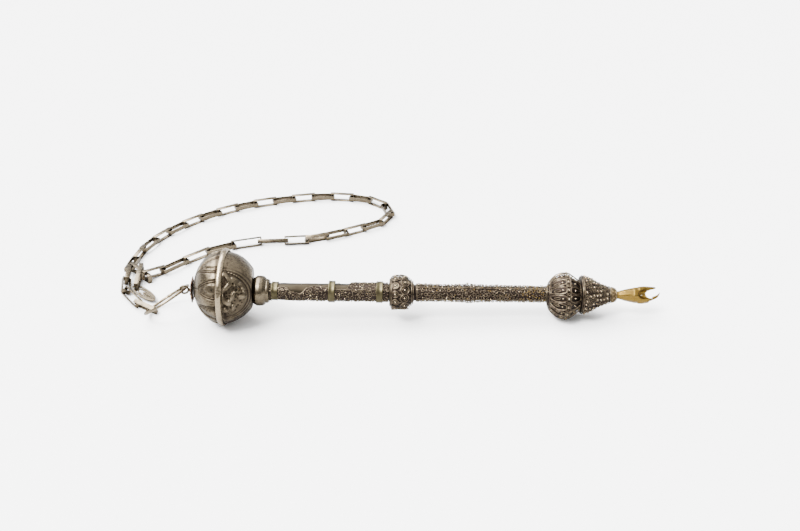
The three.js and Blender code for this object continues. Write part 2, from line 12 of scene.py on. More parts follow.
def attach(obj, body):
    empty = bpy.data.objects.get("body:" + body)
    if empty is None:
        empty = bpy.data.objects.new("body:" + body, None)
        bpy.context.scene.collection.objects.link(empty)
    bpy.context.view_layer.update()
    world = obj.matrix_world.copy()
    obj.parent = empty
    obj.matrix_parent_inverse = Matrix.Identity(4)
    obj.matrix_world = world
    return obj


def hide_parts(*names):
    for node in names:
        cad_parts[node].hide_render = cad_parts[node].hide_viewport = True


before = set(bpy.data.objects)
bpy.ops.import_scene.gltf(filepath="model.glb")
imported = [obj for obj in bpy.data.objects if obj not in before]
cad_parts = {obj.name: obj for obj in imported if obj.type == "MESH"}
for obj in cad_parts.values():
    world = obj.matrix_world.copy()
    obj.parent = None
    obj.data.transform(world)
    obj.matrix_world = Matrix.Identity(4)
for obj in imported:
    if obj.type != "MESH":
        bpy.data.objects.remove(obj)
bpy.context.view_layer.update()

bl_info = {
    "name": "Torah Pointer",
    "version": (1, 0, 0),
    "blender": (4, 5, 0),
    "location": "View3D > Sidebar > Pointer",
    "description": "Models a silver pointer with filigree, a ring and a chain around its frame",
    "category": "Add Mesh",
}

# Everything is modelled in millimetres and brought to metres when a piece is dressed.
MM = 0.001
TABLE = Matrix.Scale(MM, 4)

# Sizes in millimetres. Stations, such as starts and ends, are measured along the pointer from the middle of
# the knob's belt. Each band has its station and its inner radius.
KNOB_RADIUS = 20.7
OUTER_DOME_HEIGHT = 16.2
INNER_DOME_HEIGHT = 20.5
BELT_OUTER = 22.2
BELT_INNER = 21.0
BELT_HALF = 1.6
KNOB_SET_HIGH = 2.1
COLLAR_START = 17.6
TUBE_START = 26.5
TUBE_END = 94.6
TUBE_RADIUS = 4.7
SHEATH_RADIUS = 5.15
BANDS = ((29.9, 5.0), (62.3, 5.9), (89.6, 5.9))
BAND_WIDTH = 3.6
KNOP_SET_LOW = 0.95
HAND_START = 225.9
HAND_LENGTH = 26.0
HAND_ROLL = radians(-25)
LINK_WALL = 0.6
LINK_CORNER = 1.1

# The chasing of the domes: how many arches and medallions go round, the turn of the first and half its size.
ARCHES = 8
ARCHES_TURN = 65
ARCH_HALF_WIDTH = 6.8
ARCH_HEIGHT = 15.0
MEDALLIONS = 2
MEDALLIONS_TURN = 74
MEDALLION_HALF_WIDTH = 17.4
MEDALLION_HALF_HEIGHT = 16.6

# How askew the belt and collar sit, in degrees, and how far the belt has slid.
BELT_SLANT = -4.5
BELT_SHIFT = 1.3
COLLAR_SLANT = -3

# Stations of the shaft's thickest wire, of its first gilded grains and of the large knop's widest place.
CRUST_MIDDLE = 141
GILDED_FROM = 170
KNOP_WAIST = 196.7

PETALS_OF_ROSETTE = 8
BEADS_OF_ROSETTE = 14
LOOPS_OF_CROWN = 11
FLOOR_SIZE_METRES = 40.0
DOME_STEPS = 420
SMOOTHING_ANGLE = 40
BEVEL_ANGLE = radians(40)

# Radius of each body at its stations: (distance along the pointer, radius).
COLLAR_LINE = ((17.6, 6.6), (18.4, 7.8), (19.7, 8.6), (21.5, 8.75), (23.3, 8.5), (24.4, 7.7), (24.9, 7.0),
               (25.2, 6.9), (25.6, 7.0), (26.0, 6.8), (26.2, 6.4))
MIDDLE_KNOP_LINE = ((94.9, 6.2), (95.6, 8.0), (96.6, 9.1), (98.4, 9.75), (102.5, 9.9), (105.2, 9.3),
                    (107.2, 8.0), (109.0, 6.2), (109.9, 5.4))
SHAFT_LINE = ((110.2, 5.0), (126.0, 4.7), (137.5, 4.7), (141.0, 5.1), (144.5, 4.7), (165.0, 4.6),
              (186.1, 4.5))
LARGE_KNOP_LINE = ((186.4, 6.4), (187.5, 8.4), (189.1, 10.4), (191.4, 12.2), (194.2, 13.2), (196.7, 13.45),
                   (198.6, 13.0), (200.5, 11.8), (202.7, 10.2), (204.7, 8.6))
BELL_LINE = ((205.1, 10.4), (206.1, 11.0), (207.7, 10.9), (211.2, 9.7), (213.5, 8.3), (217.1, 6.4),
             (221.0, 5.15), (222.3, 4.7))
CROWN_LINE = ((222.6, 4.3), (223.4, 4.5), (225.6, 3.8))

# Where the broken sheath still covers the handle: distance, first turn, last turn, in degrees. Turn 0 is
# upwards and a quarter turn faces the camera. Past the seam's turns the edge is whole, so it isn't ragged.
SEAM_TURNS = (-40, 290)
SHEATH_STUB_EDGES = ((26.7, 52, 205), (27.0, 42, 190), (27.8, 58, 178))
SHEATH_EDGES = ((32.0, 38, 126), (36.0, 36, 132), (39.0, 62, 139), (43.5, 76, 178), (46.0, 66, 208),
                (48.0, 42, 236), (53.0, 24, 262), (58.0, 33, 282), (65.0, 47, 300), (71.0, 45, 290),
                (73.0, -12, 296), (79.0, -44, 302), (94.3, -48, 306))


def line_at(line, x):
    xs, radii = zip(*line)
    return float(np.interp(x, xs, radii))


def slope_at(line, x, step=0.4):
    return -atan2(line_at(line, x + step) - line_at(line, x - step), 2 * step)


def moved(x=0.0, y=0.0, z=0.0):
    return Matrix.Translation((x, y, z))


def rolled(angle, axis):
    return Matrix.Rotation(angle, 4, axis)


def seat(x, turn, radius, slope=0.0, twist=0.0):
    """A place on a body of revolution. Its Z points outwards and its X along the pointer."""
    return rolled(turn, "X") @ moved(x, 0, radius) @ rolled(slope, "Y") @ rolled(twist, "Z")


def around(x, turn, radius):
    return (x, -radius * sin(turn), radius * cos(turn))


def hoop(line, x, count, lift=0.0):
    """A circle of points round a body at one station."""
    return [around(x, 2 * pi * i / count, line_at(line, x) + lift) for i in range(count)]


def sway(rng, reach):
    return rng.uniform(-reach, reach)


def coordinates(mesh):
    flat = np.empty(len(mesh.vertices) * 3)
    mesh.vertices.foreach_get("co", flat)
    return flat.reshape(-1, 3)


def lie_of(name):
    """How a node lies: the matrix of its middle and its axes, long one first, its sizes and its points."""
    points = np.unique(np.round(coordinates(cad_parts[name].data) / MM, 3), axis=0)
    spread, axes = np.linalg.eigh(np.cov((points - points.mean(axis=0)).T))
    axes = axes[:, np.argsort(spread)[::-1]]
    if np.linalg.det(axes) < 0:
        axes[:, 2] *= -1
    local = points @ axes
    low, high = local.min(axis=0), local.max(axis=0)
    matrix = Matrix(axes.tolist()).to_4x4()
    matrix.translation = Vector(axes @ ((low + high) / 2))
    return matrix, high - low, local - (low + high) / 2


def pointer_frame():
    """The pointer's own frame, from the handle tube: X runs along it, with the origin at the knob's belt."""
    matrix, size, _ = lie_of("handle_tube")
    along = Vector(matrix.col[0][:3])
    if along.x < 0:
        along.negate()
    up = Vector((0, 0, 1)) - along * along.z
    up.normalize()
    side = up.cross(along)
    result = Matrix((along, side, up)).transposed().to_4x4()
    result.translation = matrix.translation + along * (size[0] / 2 - TUBE_END)
    return TABLE @ result


POINTER = pointer_frame()
KNOB = POINTER @ Matrix.Translation((0, 0, KNOB_SET_HIGH))
KNOP = POINTER @ Matrix.Translation((0, 0, -KNOP_SET_LOW))


# Modelling helpers

def deselect():
    if bpy.context.mode != "OBJECT":
        bpy.ops.object.mode_set(mode="OBJECT")
    bpy.ops.object.select_all(action="DESELECT")


def pick(*objects):
    deselect()
    for item in objects:
        item.select_set(True)
    bpy.context.view_layer.objects.active = objects[0]
    return objects[0]


def joined(*objects):
    pick(*objects)
    if len(objects) > 1:
        bpy.ops.object.join()
    return bpy.context.object


def placed(name, data):
    item = bpy.data.objects.new(name, data)
    bpy.context.scene.collection.objects.link(item)
    return pick(item)


def mesh_object(name, points, edges, faces):
    mesh = bpy.data.meshes.new(name)
    mesh.from_pydata(points, edges, faces)
    return placed(name, mesh)


def unit_cube(*size):
    deselect()
    bpy.ops.mesh.primitive_cube_add(size=1)
    bpy.context.object.data.transform(Matrix.Diagonal((*size, 1)))
    return bpy.context.object


def edit_all():
    """Opens the active mesh for modelling, with all of it selected."""
    bpy.ops.object.mode_set(mode="EDIT")
    bpy.ops.mesh.select_all(action="SELECT")


def faced_outwards():
    """Turns the faces of the mesh that is being modelled outwards, and closes it."""
    bpy.ops.mesh.select_all(action="SELECT")
    bpy.ops.mesh.normals_make_consistent(inside=False)
    bpy.ops.object.mode_set(mode="OBJECT")
    return bpy.context.object


def apply_modifier(item, kind, **settings):
    modifier = item.modifiers.new(kind.title(), kind)
    for key, value in settings.items():
        setattr(modifier, key, value)
    pick(item)
    bpy.ops.object.modifier_apply(modifier=modifier.name)


def turned(name, line, steps=96, endless=False):
    """A profile of (distance, radius) points spun about the pointer's axis. An endless one is a ring."""
    points = [(x, 0, radius) for x, radius in line]
    if not endless:
        points = [(line[0][0], 0, 0), *points, (line[-1][0], 0, 0)]
    edges = [(i, i + 1) for i in range(len(points) - 1)]
    if endless:
        edges.append((len(points) - 1, 0))
    mesh_object(name, points, edges, [])
    edit_all()
    bpy.ops.mesh.spin(steps=steps, angle=2 * pi, center=(0, 0, 0), axis=(1, 0, 0))
    bpy.ops.mesh.select_all(action="SELECT")
    bpy.ops.mesh.remove_doubles(threshold=1e-4)
    return faced_outwards()


def set_askew(item, x, degrees, shift=0.0):
    """Slants a ring that was put on by hand: its camera side moves towards the knob's pole."""
    item.data.transform(moved(x + shift) @ rolled(radians(degrees), "Z") @ moved(-x))


def smooth_line(line, count):
    xs, radii = zip(*line)
    stations = np.linspace(xs[0], xs[-1], count)
    return list(zip(stations.tolist(), np.interp(stations, xs, radii).tolist()))


def lengthened(line, extra=0.5):
    """A core's profile drawn out at both ends, into its neighbours, so that no floor shows between them."""
    return [(line[0][0] - extra, line[0][1]), *line[1:-1], (line[-1][0] + extra, line[-1][1])]


def reshape(item, change):
    """Moves every point: change takes arrays of distance, turn and radius and gives two of them anew."""
    mesh = item.data
    points = coordinates(mesh)
    turn = np.arctan2(-points[:, 1], points[:, 2])
    radius = np.hypot(points[:, 1], points[:, 2])
    x, radius = change(points[:, 0], turn, radius)
    moved_points = np.stack([x, -radius * np.sin(turn), radius * np.cos(turn)], axis=1)
    mesh.vertices.foreach_set("co", moved_points.ravel())
    mesh.update()


def copies(name, template, places):
    """One mesh that holds a copy of the template at each place. The template is used up."""
    source = template.data
    points = np.c_[coordinates(source), np.ones(len(source.vertices))]
    faces = [tuple(face.vertices) for face in source.polygons]
    bpy.data.objects.remove(template)
    all_points = np.concatenate([(points @ np.array(place).T)[:, :3] for place in places])
    all_faces = [tuple(v + i * len(points) for v in face) for i in range(len(places)) for face in faces]
    return mesh_object(name, all_points.tolist(), [], all_faces)


def wire_ring(radius, wire, segments=14, sides=6):
    deselect()
    bpy.ops.mesh.primitive_torus_add(major_radius=radius, minor_radius=wire, major_segments=segments,
                                     minor_segments=sides)
    return bpy.context.object


def grain(radius, detail=2):
    deselect()
    bpy.ops.mesh.primitive_ico_sphere_add(radius=radius, subdivisions=detail)
    return bpy.context.object


def strands(name, paths, radius, closed=False):
    """Wires along the given paths, as one mesh."""
    curve = bpy.data.curves.new(name, "CURVE")
    curve.dimensions = "3D"
    curve.bevel_depth = radius
    curve.bevel_resolution = 1
    curve.use_fill_caps = not closed
    for path in paths:
        spline = curve.splines.new("POLY")
        spline.points.add(len(path) - 1)
        for point, place in zip(spline.points, path):
            point.co = (*place, 1)
        spline.use_cyclic_u = closed
    placed(name, curve)
    bpy.ops.object.convert(target="MESH")
    return bpy.context.object


def grid_faces(rows, columns, closed=False):
    """The faces between rows of points, each row open or closed round on itself."""
    faces = []
    for i in range(rows - 1):
        for j in range(columns if closed else columns - 1):
            k = (j + 1) % columns
            faces.append((i * columns + j, i * columns + k, (i + 1) * columns + k, (i + 1) * columns + j))
    return faces


def rest_on_floor(mesh):
    """Flattens what would sink below the floor, as wear does where the piece lies."""
    points = coordinates(mesh)
    points[:, 2] = np.maximum(points[:, 2], 0.0)
    mesh.vertices.foreach_set("co", points.ravel())


def dress(item, name, metal, node=None, matrix=POINTER, **finish):
    """Brings a piece to its place in the frame and gives it its name, metal and body."""
    finish = {"slot": SLOTS[metal], "angle": 0 if metal in SMOOTH else SMOOTHING_ANGLE, **finish}
    item.name = name
    item.data.name = name
    item.data.transform(matrix)
    rest_on_floor(item.data)
    item.data.materials.clear()
    item.data.materials.append(METALS[metal])
    pick(item)
    if finish["angle"]:
        bpy.ops.object.shade_smooth_by_angle(angle=radians(finish["angle"]))
    else:
        bpy.ops.object.shade_smooth()
    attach(item, "root")
    if node:
        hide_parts(node)


def dark_core(node, line, sunk, stations, steps, matrix=POINTER, change=None):
    """The dark body that shows between a piece's wires, a little inside its outline."""
    item = turned("core", smooth_line([(x, radius - sunk) for x, radius in line], stations), steps)
    if change:
        reshape(item, change)
    dress(item, node + "_core", "ground", node, matrix)


# Materials

def shared_group(name, inputs, outputs):
    tree = bpy.data.node_groups.new(name, "ShaderNodeTree")
    for label, value in inputs:
        socket = tree.interface.new_socket(name=label, in_out="INPUT", socket_type="NodeSocketFloat")
        socket.default_value = value
    for label in outputs:
        tree.interface.new_socket(name=label, in_out="OUTPUT", socket_type="NodeSocketFloat")
    return tree, tree.nodes.new("NodeGroupInput"), tree.nodes.new("NodeGroupOutput")


def add_node(tree, kind, links=(), **settings):
    """Adds a node. links gives each named input its value or the socket that feeds it."""
    node = tree.nodes.new(kind)
    for key, value in settings.items():
        setattr(node, key, value)
    for socket, value in links:
        target = node.inputs[socket]
        if isinstance(value, bpy.types.NodeSocket):
            tree.links.new(value, target)
        else:
            target.default_value = value
    return node


def ranged(tree, value, low, high, to_low=0.0, to_high=1.0):
    return add_node(tree, "ShaderNodeMapRange", (("Value", value), ("From Min", low), ("From Max", high),
                                                 ("To Min", to_low), ("To Max", to_high))).outputs[0]


def blended(tree, factor, first, second):
    node = add_node(tree, "ShaderNodeMix", data_type="RGBA")
    for index, value in ((0, factor), (6, first), (7, second)):
        if isinstance(value, bpy.types.NodeSocket):
            tree.links.new(value, node.inputs[index])
        else:
            node.inputs[index].default_value = value
    return node.outputs[2]


def math_node(tree, operation, first, second):
    return add_node(tree, "ShaderNodeMath", ((0, first), (1, second)), operation=operation).outputs[0]


def object_place(tree):
    return add_node(tree, "ShaderNodeTexCoord").outputs["Object"]


def noise(tree, place, scale, detail, roughness=0.5):
    return add_node(tree, "ShaderNodeTexNoise", (("Vector", place), ("Scale", scale), ("Detail", detail),
                                                 ("Roughness", roughness))).outputs[0]


def tarnish_group():
    """Wide patches of tarnish, dirt and painted shade in the hollows, and fine specks."""
    tree, entry, leave = shared_group("Tarnish", (("Patch Size", 120.0), ("Cavity Depth", 0.001)),
                                      ("Patches", "Dirt And Shade", "Specks"))
    place = object_place(tree)
    patches = noise(tree, place, entry.outputs[0], 6.0, 0.62)
    specks = noise(tree, place, 1900.0, 3.0)
    # Painted shade: ambient occlusion darkens the hollows and the places between parts, where dirt also lies.
    hollow = add_node(tree, "ShaderNodeAmbientOcclusion", (("Distance", entry.outputs[1]),), samples=8)
    tree.links.new(ranged(tree, patches, 0.36, 0.66), leave.inputs[0])
    tree.links.new(ranged(tree, hollow.outputs["AO"], 0.25, 0.95, 1.0, 0.0), leave.inputs[1])
    tree.links.new(ranged(tree, specks, 0.42, 0.68), leave.inputs[2])
    return tree


def handling_group():
    """Fine scratches, shallow dents and where hands have rubbed."""
    tree, entry, leave = shared_group("Handling Marks", (("Scratch Scale", 900.0),), ("Height", "Rub"))
    place = object_place(tree)
    stretch = add_node(tree, "ShaderNodeMapping", (("Vector", place), ("Scale", (0.16, 1.0, 1.0)),
                                                   ("Rotation", (0.3, 0.5, 0.7))))
    fine = noise(tree, stretch.outputs[0], entry.outputs[0], 4.0)
    dents = noise(tree, place, 150.0, 2.0)
    height = math_node(tree, "ADD", math_node(tree, "MULTIPLY", fine, 0.25),
                       math_node(tree, "MULTIPLY", dents, 0.75))
    tree.links.new(height, leave.inputs[0])
    tree.links.new(ranged(tree, fine, 0.35, 0.7), leave.inputs[1])
    return tree


def punches_group():
    """Round marks of a punching tool, close together and a little uneven."""
    tree, entry, leave = shared_group("Punch Marks", (("Marks Per Metre", 640.0),), ("Marks",))
    cells = add_node(tree, "ShaderNodeTexVoronoi", (("Vector", object_place(tree)),
                                                    ("Scale", entry.outputs[0]), ("Randomness", 0.7)))
    tree.links.new(ranged(tree, cells.outputs["Distance"], 0.34, 0.5, 1.0, 0.0), leave.inputs[0])
    return tree


def worn_metal(name, bright, dull, dirt_and_shade_colour, roughness, patch=120.0, cavity=0.001, patches=0.6, dirt_and_shade_strength=0.9,
               relief=False, shine=1.0):
    """Metal with tarnish in patches, dirt and painted shade in its hollows, specks and handling marks."""
    material = bpy.data.materials.new(name)
    material.use_nodes = True
    tree = material.node_tree
    shader = tree.nodes["Principled BSDF"]

    def shared(key):
        return add_node(tree, "ShaderNodeGroup", node_tree=GROUPS[key])

    def combined(operation, first, second):
        return math_node(tree, operation, first, second)

    tarnish = shared("tarnish")
    tarnish.inputs[0].default_value = patch
    tarnish.inputs[1].default_value = cavity
    marks = shared("marks")
    spread = combined("MULTIPLY", tarnish.outputs["Patches"], patches)
    colour = blended(tree, spread, (*bright, 1), (*dull, 1))
    colour = blended(tree, combined("MULTIPLY", tarnish.outputs["Specks"], 0.35), colour, (*dull, 1))
    # Dirt and painted shade in the hollows: the ambient occlusion, scaled by this metal's strength.
    hollows = combined("MULTIPLY", tarnish.outputs["Dirt And Shade"], dirt_and_shade_strength)
    height = marks.outputs["Height"]
    if relief:
        # The relief mask: dirt in the chased ground, and on the domes painted shade along the belt's edge.
        low = add_node(tree, "ShaderNodeAttribute", attribute_name="relief").outputs["Fac"]
        punched = add_node(tree, "ShaderNodeAttribute", attribute_name="stipple").outputs["Fac"]
        marked = combined("MULTIPLY", shared("punches").outputs["Marks"], punched)
        low = combined("MAXIMUM", low, combined("MULTIPLY", punched, 0.35))
        hollows = combined("MAXIMUM", hollows, combined("MAXIMUM", low, marked))
        height = combined("SUBTRACT", height, combined("MULTIPLY", marked, 6.0))
    tree.links.new(blended(tree, hollows, colour, (*dirt_and_shade_colour, 1)), shader.inputs["Base Color"])
    rough = combined("ADD", ranged(tree, marks.outputs["Rub"], 0.0, 1.0, roughness - 0.05, roughness + 0.1),
                     combined("MULTIPLY", hollows, 0.3))
    tree.links.new(rough, shader.inputs["Roughness"])
    shader.inputs["Metallic"].default_value = shine
    bumped = add_node(tree, "ShaderNodeBump", (("Strength", 0.06), ("Distance", 0.001), ("Height", height)))
    tree.links.new(bumped.outputs[0], shader.inputs["Normal"])
    return material


GROUPS = {}
METALS = {}

# The slot of each metal, and the metals whose pieces are smooth all over, with no sharp edges.
SLOTS = {"sheet": "silver", "plain": "silver", "rubbed": "silver", "dim": "silver", "dull": "silver",
         "chain": "chain_silver", "wire": "filigree_silver", "ground": "filigree_silver",
         "grains": "filigree_silver", "brass": "band_brass", "gilt": "gilt_silver", "hand": "gilt_silver",
         "crown": "gilt_silver", "rosette": "oxidised_silver"}
SMOOTH = ("sheet", "wire", "grains", "gilt", "crown")


def toned(colour, share):
    return tuple(channel * share for channel in colour)


def make_metals(tones):
    """Builds each metal: its name, clean colour, tarnished colour, colour of the dirt and painted shade in
    its hollows, roughness and its own wear.
    """
    GROUPS.update(tarnish=tarnish_group(), marks=handling_group(), punches=punches_group())
    silver, gilt, brass, dark = map(tuple, (tones.silver, tones.gilt, tones.brass, tones.ground))
    brown = (0.02, 0.015, 0.01)
    warm_brown = (0.03, 0.022, 0.015)
    METALS.update(
        sheet=worn_metal("chased_silver", toned(silver, 0.76), toned(silver, 0.26), (0.016, 0.011, 0.007),
                         0.26, relief=True, patch=260.0, patches=0.85, cavity=0.0012),
        plain=worn_metal("plain_silver", silver, toned(silver, 0.55), (0.025, 0.018, 0.012), 0.27,
                         cavity=0.0022),
        rubbed=worn_metal("rubbed_silver", toned(silver, 1.5), silver, warm_brown, 0.26, cavity=0.0012,
                          dirt_and_shade_strength=0.8),
        dim=worn_metal("dim_silver", toned(silver, 0.55), toned(silver, 0.26), brown, 0.27, patches=0.7,
                       cavity=0.002),
        dull=worn_metal("dull_silver", toned(silver, 0.15), toned(silver, 0.09), brown, 0.36, patches=0.7),
        # The chain's long occlusion distance paints deep shade inside and between its links, along with the
        # dirt there.
        chain=worn_metal("chain_silver", toned(silver, 0.8), toned(silver, 0.32), (0.018, 0.013, 0.009), 0.26,
                         patch=260.0, patches=0.7, cavity=0.0036, dirt_and_shade_strength=1.0),
        wire=worn_metal("filigree_wire", toned(silver, 0.76), (0.05, 0.036, 0.026), (0.01, 0.007, 0.005), 0.3,
                        patch=420.0, cavity=0.0009, patches=1.0),
        ground=worn_metal("filigree_ground", dark, toned(dark, 0.4), (0.003, 0.002, 0.0015), 0.5,
                          patch=500.0, patches=0.9, shine=0.85),
        grains=worn_metal("silver_grains", toned(silver, 2.1), silver, warm_brown, 0.22, patch=300.0,
                          cavity=0.0004, patches=0.5, dirt_and_shade_strength=0.5),
        brass=worn_metal("band_brass", brass, toned(brass, 0.55), (0.05, 0.035, 0.015), 0.38, patch=260.0),
        gilt=worn_metal("worn_gilding", gilt, toned(gilt, 0.6), (0.05, 0.026, 0.006), 0.3, patch=200.0,
                        cavity=0.0012),
        hand=worn_metal("hand_gilding", gilt, toned(gilt, 0.6), (0.042, 0.026, 0.012), 0.28, patch=200.0,
                        cavity=0.0022, relief=True),
        crown=worn_metal("crown_gilding", tuple((c + g) / 2 for c, g in zip(silver, gilt)),
                         toned(silver, 0.55), (0.03, 0.02, 0.01), 0.3, patch=300.0),
        rosette=worn_metal("rosette_patina", (0.16, 0.1, 0.066), (0.06, 0.036, 0.026), (0.02, 0.012, 0.009),
                           0.45, patch=420.0, cavity=0.0005, dirt_and_shade_strength=0.7),
    )


# Sizes and colours that a user would change

class PointerTones(bpy.types.PropertyGroup):
    silver: FloatVectorProperty(name="Silver", description="Colour of the clean silver", subtype="COLOR",
                                default=(0.275, 0.22, 0.146), min=0, max=1)
    gilt: FloatVectorProperty(name="Gilding", description="Colour of the hand's gilding", subtype="COLOR",
                              default=(0.24, 0.15, 0.033), min=0, max=1)
    brass: FloatVectorProperty(name="Bands", description="Colour of the handle's bands", subtype="COLOR",
                               default=(0.1, 0.085, 0.046), min=0, max=1)
    ground: FloatVectorProperty(name="Filigree ground", description="Colour deep in the filigree",
                                subtype="COLOR",
                                default=(0.035, 0.024, 0.017), min=0, max=1)
    floor: FloatVectorProperty(name="Floor", description="Colour of the studio floor", subtype="COLOR",
                               default=(1.0, 1.0, 1.0), min=0, max=1)


class PointerSizes(bpy.types.PropertyGroup):
    wire: FloatProperty(name="Wire", description="Radius of the filigree wire, in millimetres", default=0.2,
                        min=0.05)
    grain: FloatProperty(name="Grain", description="Radius of a filigree grain, in millimetres", default=0.36,
                         min=0.05)
    circles: IntProperty(name="Circles", description="Wire circles round the middle knop", default=12, min=3)
    petals: IntProperty(name="Petals", description="Petals round the large knop", default=16, min=3)
    seed: IntProperty(name="Seed", description="Start of the random irregularities", default=7)


class PointerStudio(bpy.types.PropertyGroup):
    key: FloatProperty(name="Key light", description="Strength of the soft light from behind", default=11.6,
                       min=0)
    sky: FloatProperty(name="Sky", description="Strength of the light from all round", default=1.7, min=0)


def sizes():
    return bpy.context.scene.pointer_sizes


# Operators

class POINTER_OT_stage(bpy.types.Operator):
    """Sets up the pale floor, the soft light and the camera at the photograph's angle"""
    bl_idname = "pointer.stage"
    bl_label = "Studio"

    def execute(self, context):
        studio = context.scene.pointer_studio
        deselect()
        bpy.ops.mesh.primitive_plane_add(size=FLOOR_SIZE_METRES)
        floor = context.object
        floor.name = "studio_floor"
        paper = bpy.data.materials.new("studio_paper")
        paper.use_nodes = True
        shader = paper.node_tree.nodes["Principled BSDF"]
        # Painted shade on the floor's reflections: camera rays see the floor in its full colour. All other
        # rays, its reflections in the metal and the light it throws back, see 0.4 of it.
        seen = add_node(paper.node_tree, "ShaderNodeLightPath").outputs["Is Camera Ray"]
        pale = context.scene.pointer_tones.floor
        tone = blended(paper.node_tree, seen, (*(channel * 0.4 for channel in pale), 1), (*pale, 1))
        paper.node_tree.links.new(tone, shader.inputs["Base Color"])
        shader.inputs["Roughness"].default_value = 0.9
        shader.inputs["Specular IOR Level"].default_value = 0.1
        floor.data.materials.append(paper)

        context.scene.world = self.air(studio.sky)

        def lamp(name, kind, place, energy, aim=(0, 0, 0), **settings):
            light = bpy.data.lights.new(name, kind)
            light.energy = energy
            for key, value in settings.items():
                setattr(light, key, value)
            item = placed(name, light)
            item.location = place
            item.rotation_euler = (Vector(aim) - Vector(place)).to_track_quat("-Z", "Y").to_euler()

        lamp("key_sun", "SUN", (-0.6, 0.5, 1.1), studio.key, angle=radians(60))
        lamp("front_sun", "SUN", (-0.55, -0.45, 1.1), studio.key * 0.8, angle=radians(24))
        lamp("front_softbox", "AREA", (-0.35, -0.7, 0.75), 3.0, (0.05, 0.02, 0.02), shape="RECTANGLE",
             size=0.5, size_y=0.22)

        camera = bpy.data.cameras.new("photo_camera")
        camera.sensor_width = 36
        camera.lens = 54
        camera.clip_end = 20
        item = placed("photo_camera", camera)
        item.location = (0.0881, -0.5913, 0.3694)
        item.rotation_euler = (radians(60.5), 0, radians(-1.331))
        context.scene.camera = item
        return {"FINISHED"}

    def air(self, strength):
        """Light from all round: bright above and behind, dim low down on the camera's side."""
        world = bpy.data.worlds.new("studio_air")
        world.use_nodes = True
        tree = world.node_tree
        way = add_node(tree, "ShaderNodeTexCoord").outputs["Generated"]
        parts = add_node(tree, "ShaderNodeSeparateXYZ", (("Vector", way),))
        behind = ranged(tree, parts.outputs["Y"], -0.7, 0.6)
        low = blended(tree, behind, (0.05, 0.05, 0.052, 1), (0.55, 0.55, 0.55, 1))
        height = ranged(tree, parts.outputs["Z"], 0.25, 0.85)
        sky = tree.nodes["Background"]
        tree.links.new(blended(tree, height, low, (1, 1, 1, 1)), sky.inputs["Color"])
        sky.inputs["Strength"].default_value = strength
        return world


def bump_at(s, t, centre, size, turn=0.0):
    """A soft oval mound, 1 in its middle."""
    ds, dt = s - centre[0], t - centre[1]
    along = (ds * cos(turn) + dt * sin(turn)) / size[0]
    across = (-ds * sin(turn) + dt * cos(turn)) / size[1]
    return np.exp(-(along ** 2 + across ** 2) ** 2)


# Raised foliage in each medallion: middle, half length and half width, and turn of each stem, leaf and boss.
FOLIAGE = (
    ((-6.8, 4.6), (4.4, 1.1), 0.5), ((-2.4, 4.2), (3.4, 1.1), -0.8), ((-5.2, 8.6), (2.9, 1.2), 1.0),
    ((-1.8, 9.0), (2.4, 1.1), 0.3), ((2.0, 7.0), (3.0, 1.1), -0.5), ((4.9, 4.6), (2.5, 1.2), 0.9),
    ((7.4, 7.4), (1.9, 1.0), -0.3), ((2.9, 2.6), (2.4, 0.9), 0.2), ((2.6, 11.6), (1.3, 2.1), 0.1),
    ((8.6, 3.4), (1.3, 1.3), 0.0), ((-8.4, 2.2), (1.2, 1.2), 0.0), ((-0.6, 12.4), (1.6, 0.8), 0.4),
)


def edge_band(distance, width):
    """1 on a line and 0 away from it."""
    return np.exp(-(distance / width) ** 2)


def within(distance, sharpness):
    """1 where the distance is below zero, 0 where it is above."""
    return 1 / (1 + np.exp(distance * sharpness))


def share(values):
    return np.clip(values, 0, 1)


def sector(turn, middle, count):
    """The turn from the middle of the nearest of equal sectors."""
    step = 2 * pi / count
    return (turn - radians(middle) + step / 2) % step - step / 2


def set_mask(item, name, values):
    attribute = item.data.attributes.new(name, "FLOAT", "POINT")
    attribute.data.foreach_set("value", share(values).astype(np.float32))


def chased_dome(node, line, chase):
    """Spins a dome and chases it: chase gives its new radii, the punched ground and the depth of dirt and of
    painted shade.
    """
    dome = turned(node, line, DOME_STEPS)
    masks = {}

    def press(x, turn, radius):
        radius, masks["stipple"], masks["relief"] = chase(x, turn, radius)
        return x, radius

    reshape(dome, press)
    for name, values in masks.items():
        set_mask(dome, name, values)
    dress(dome, node + "_chased", "sheet", node, KNOB)


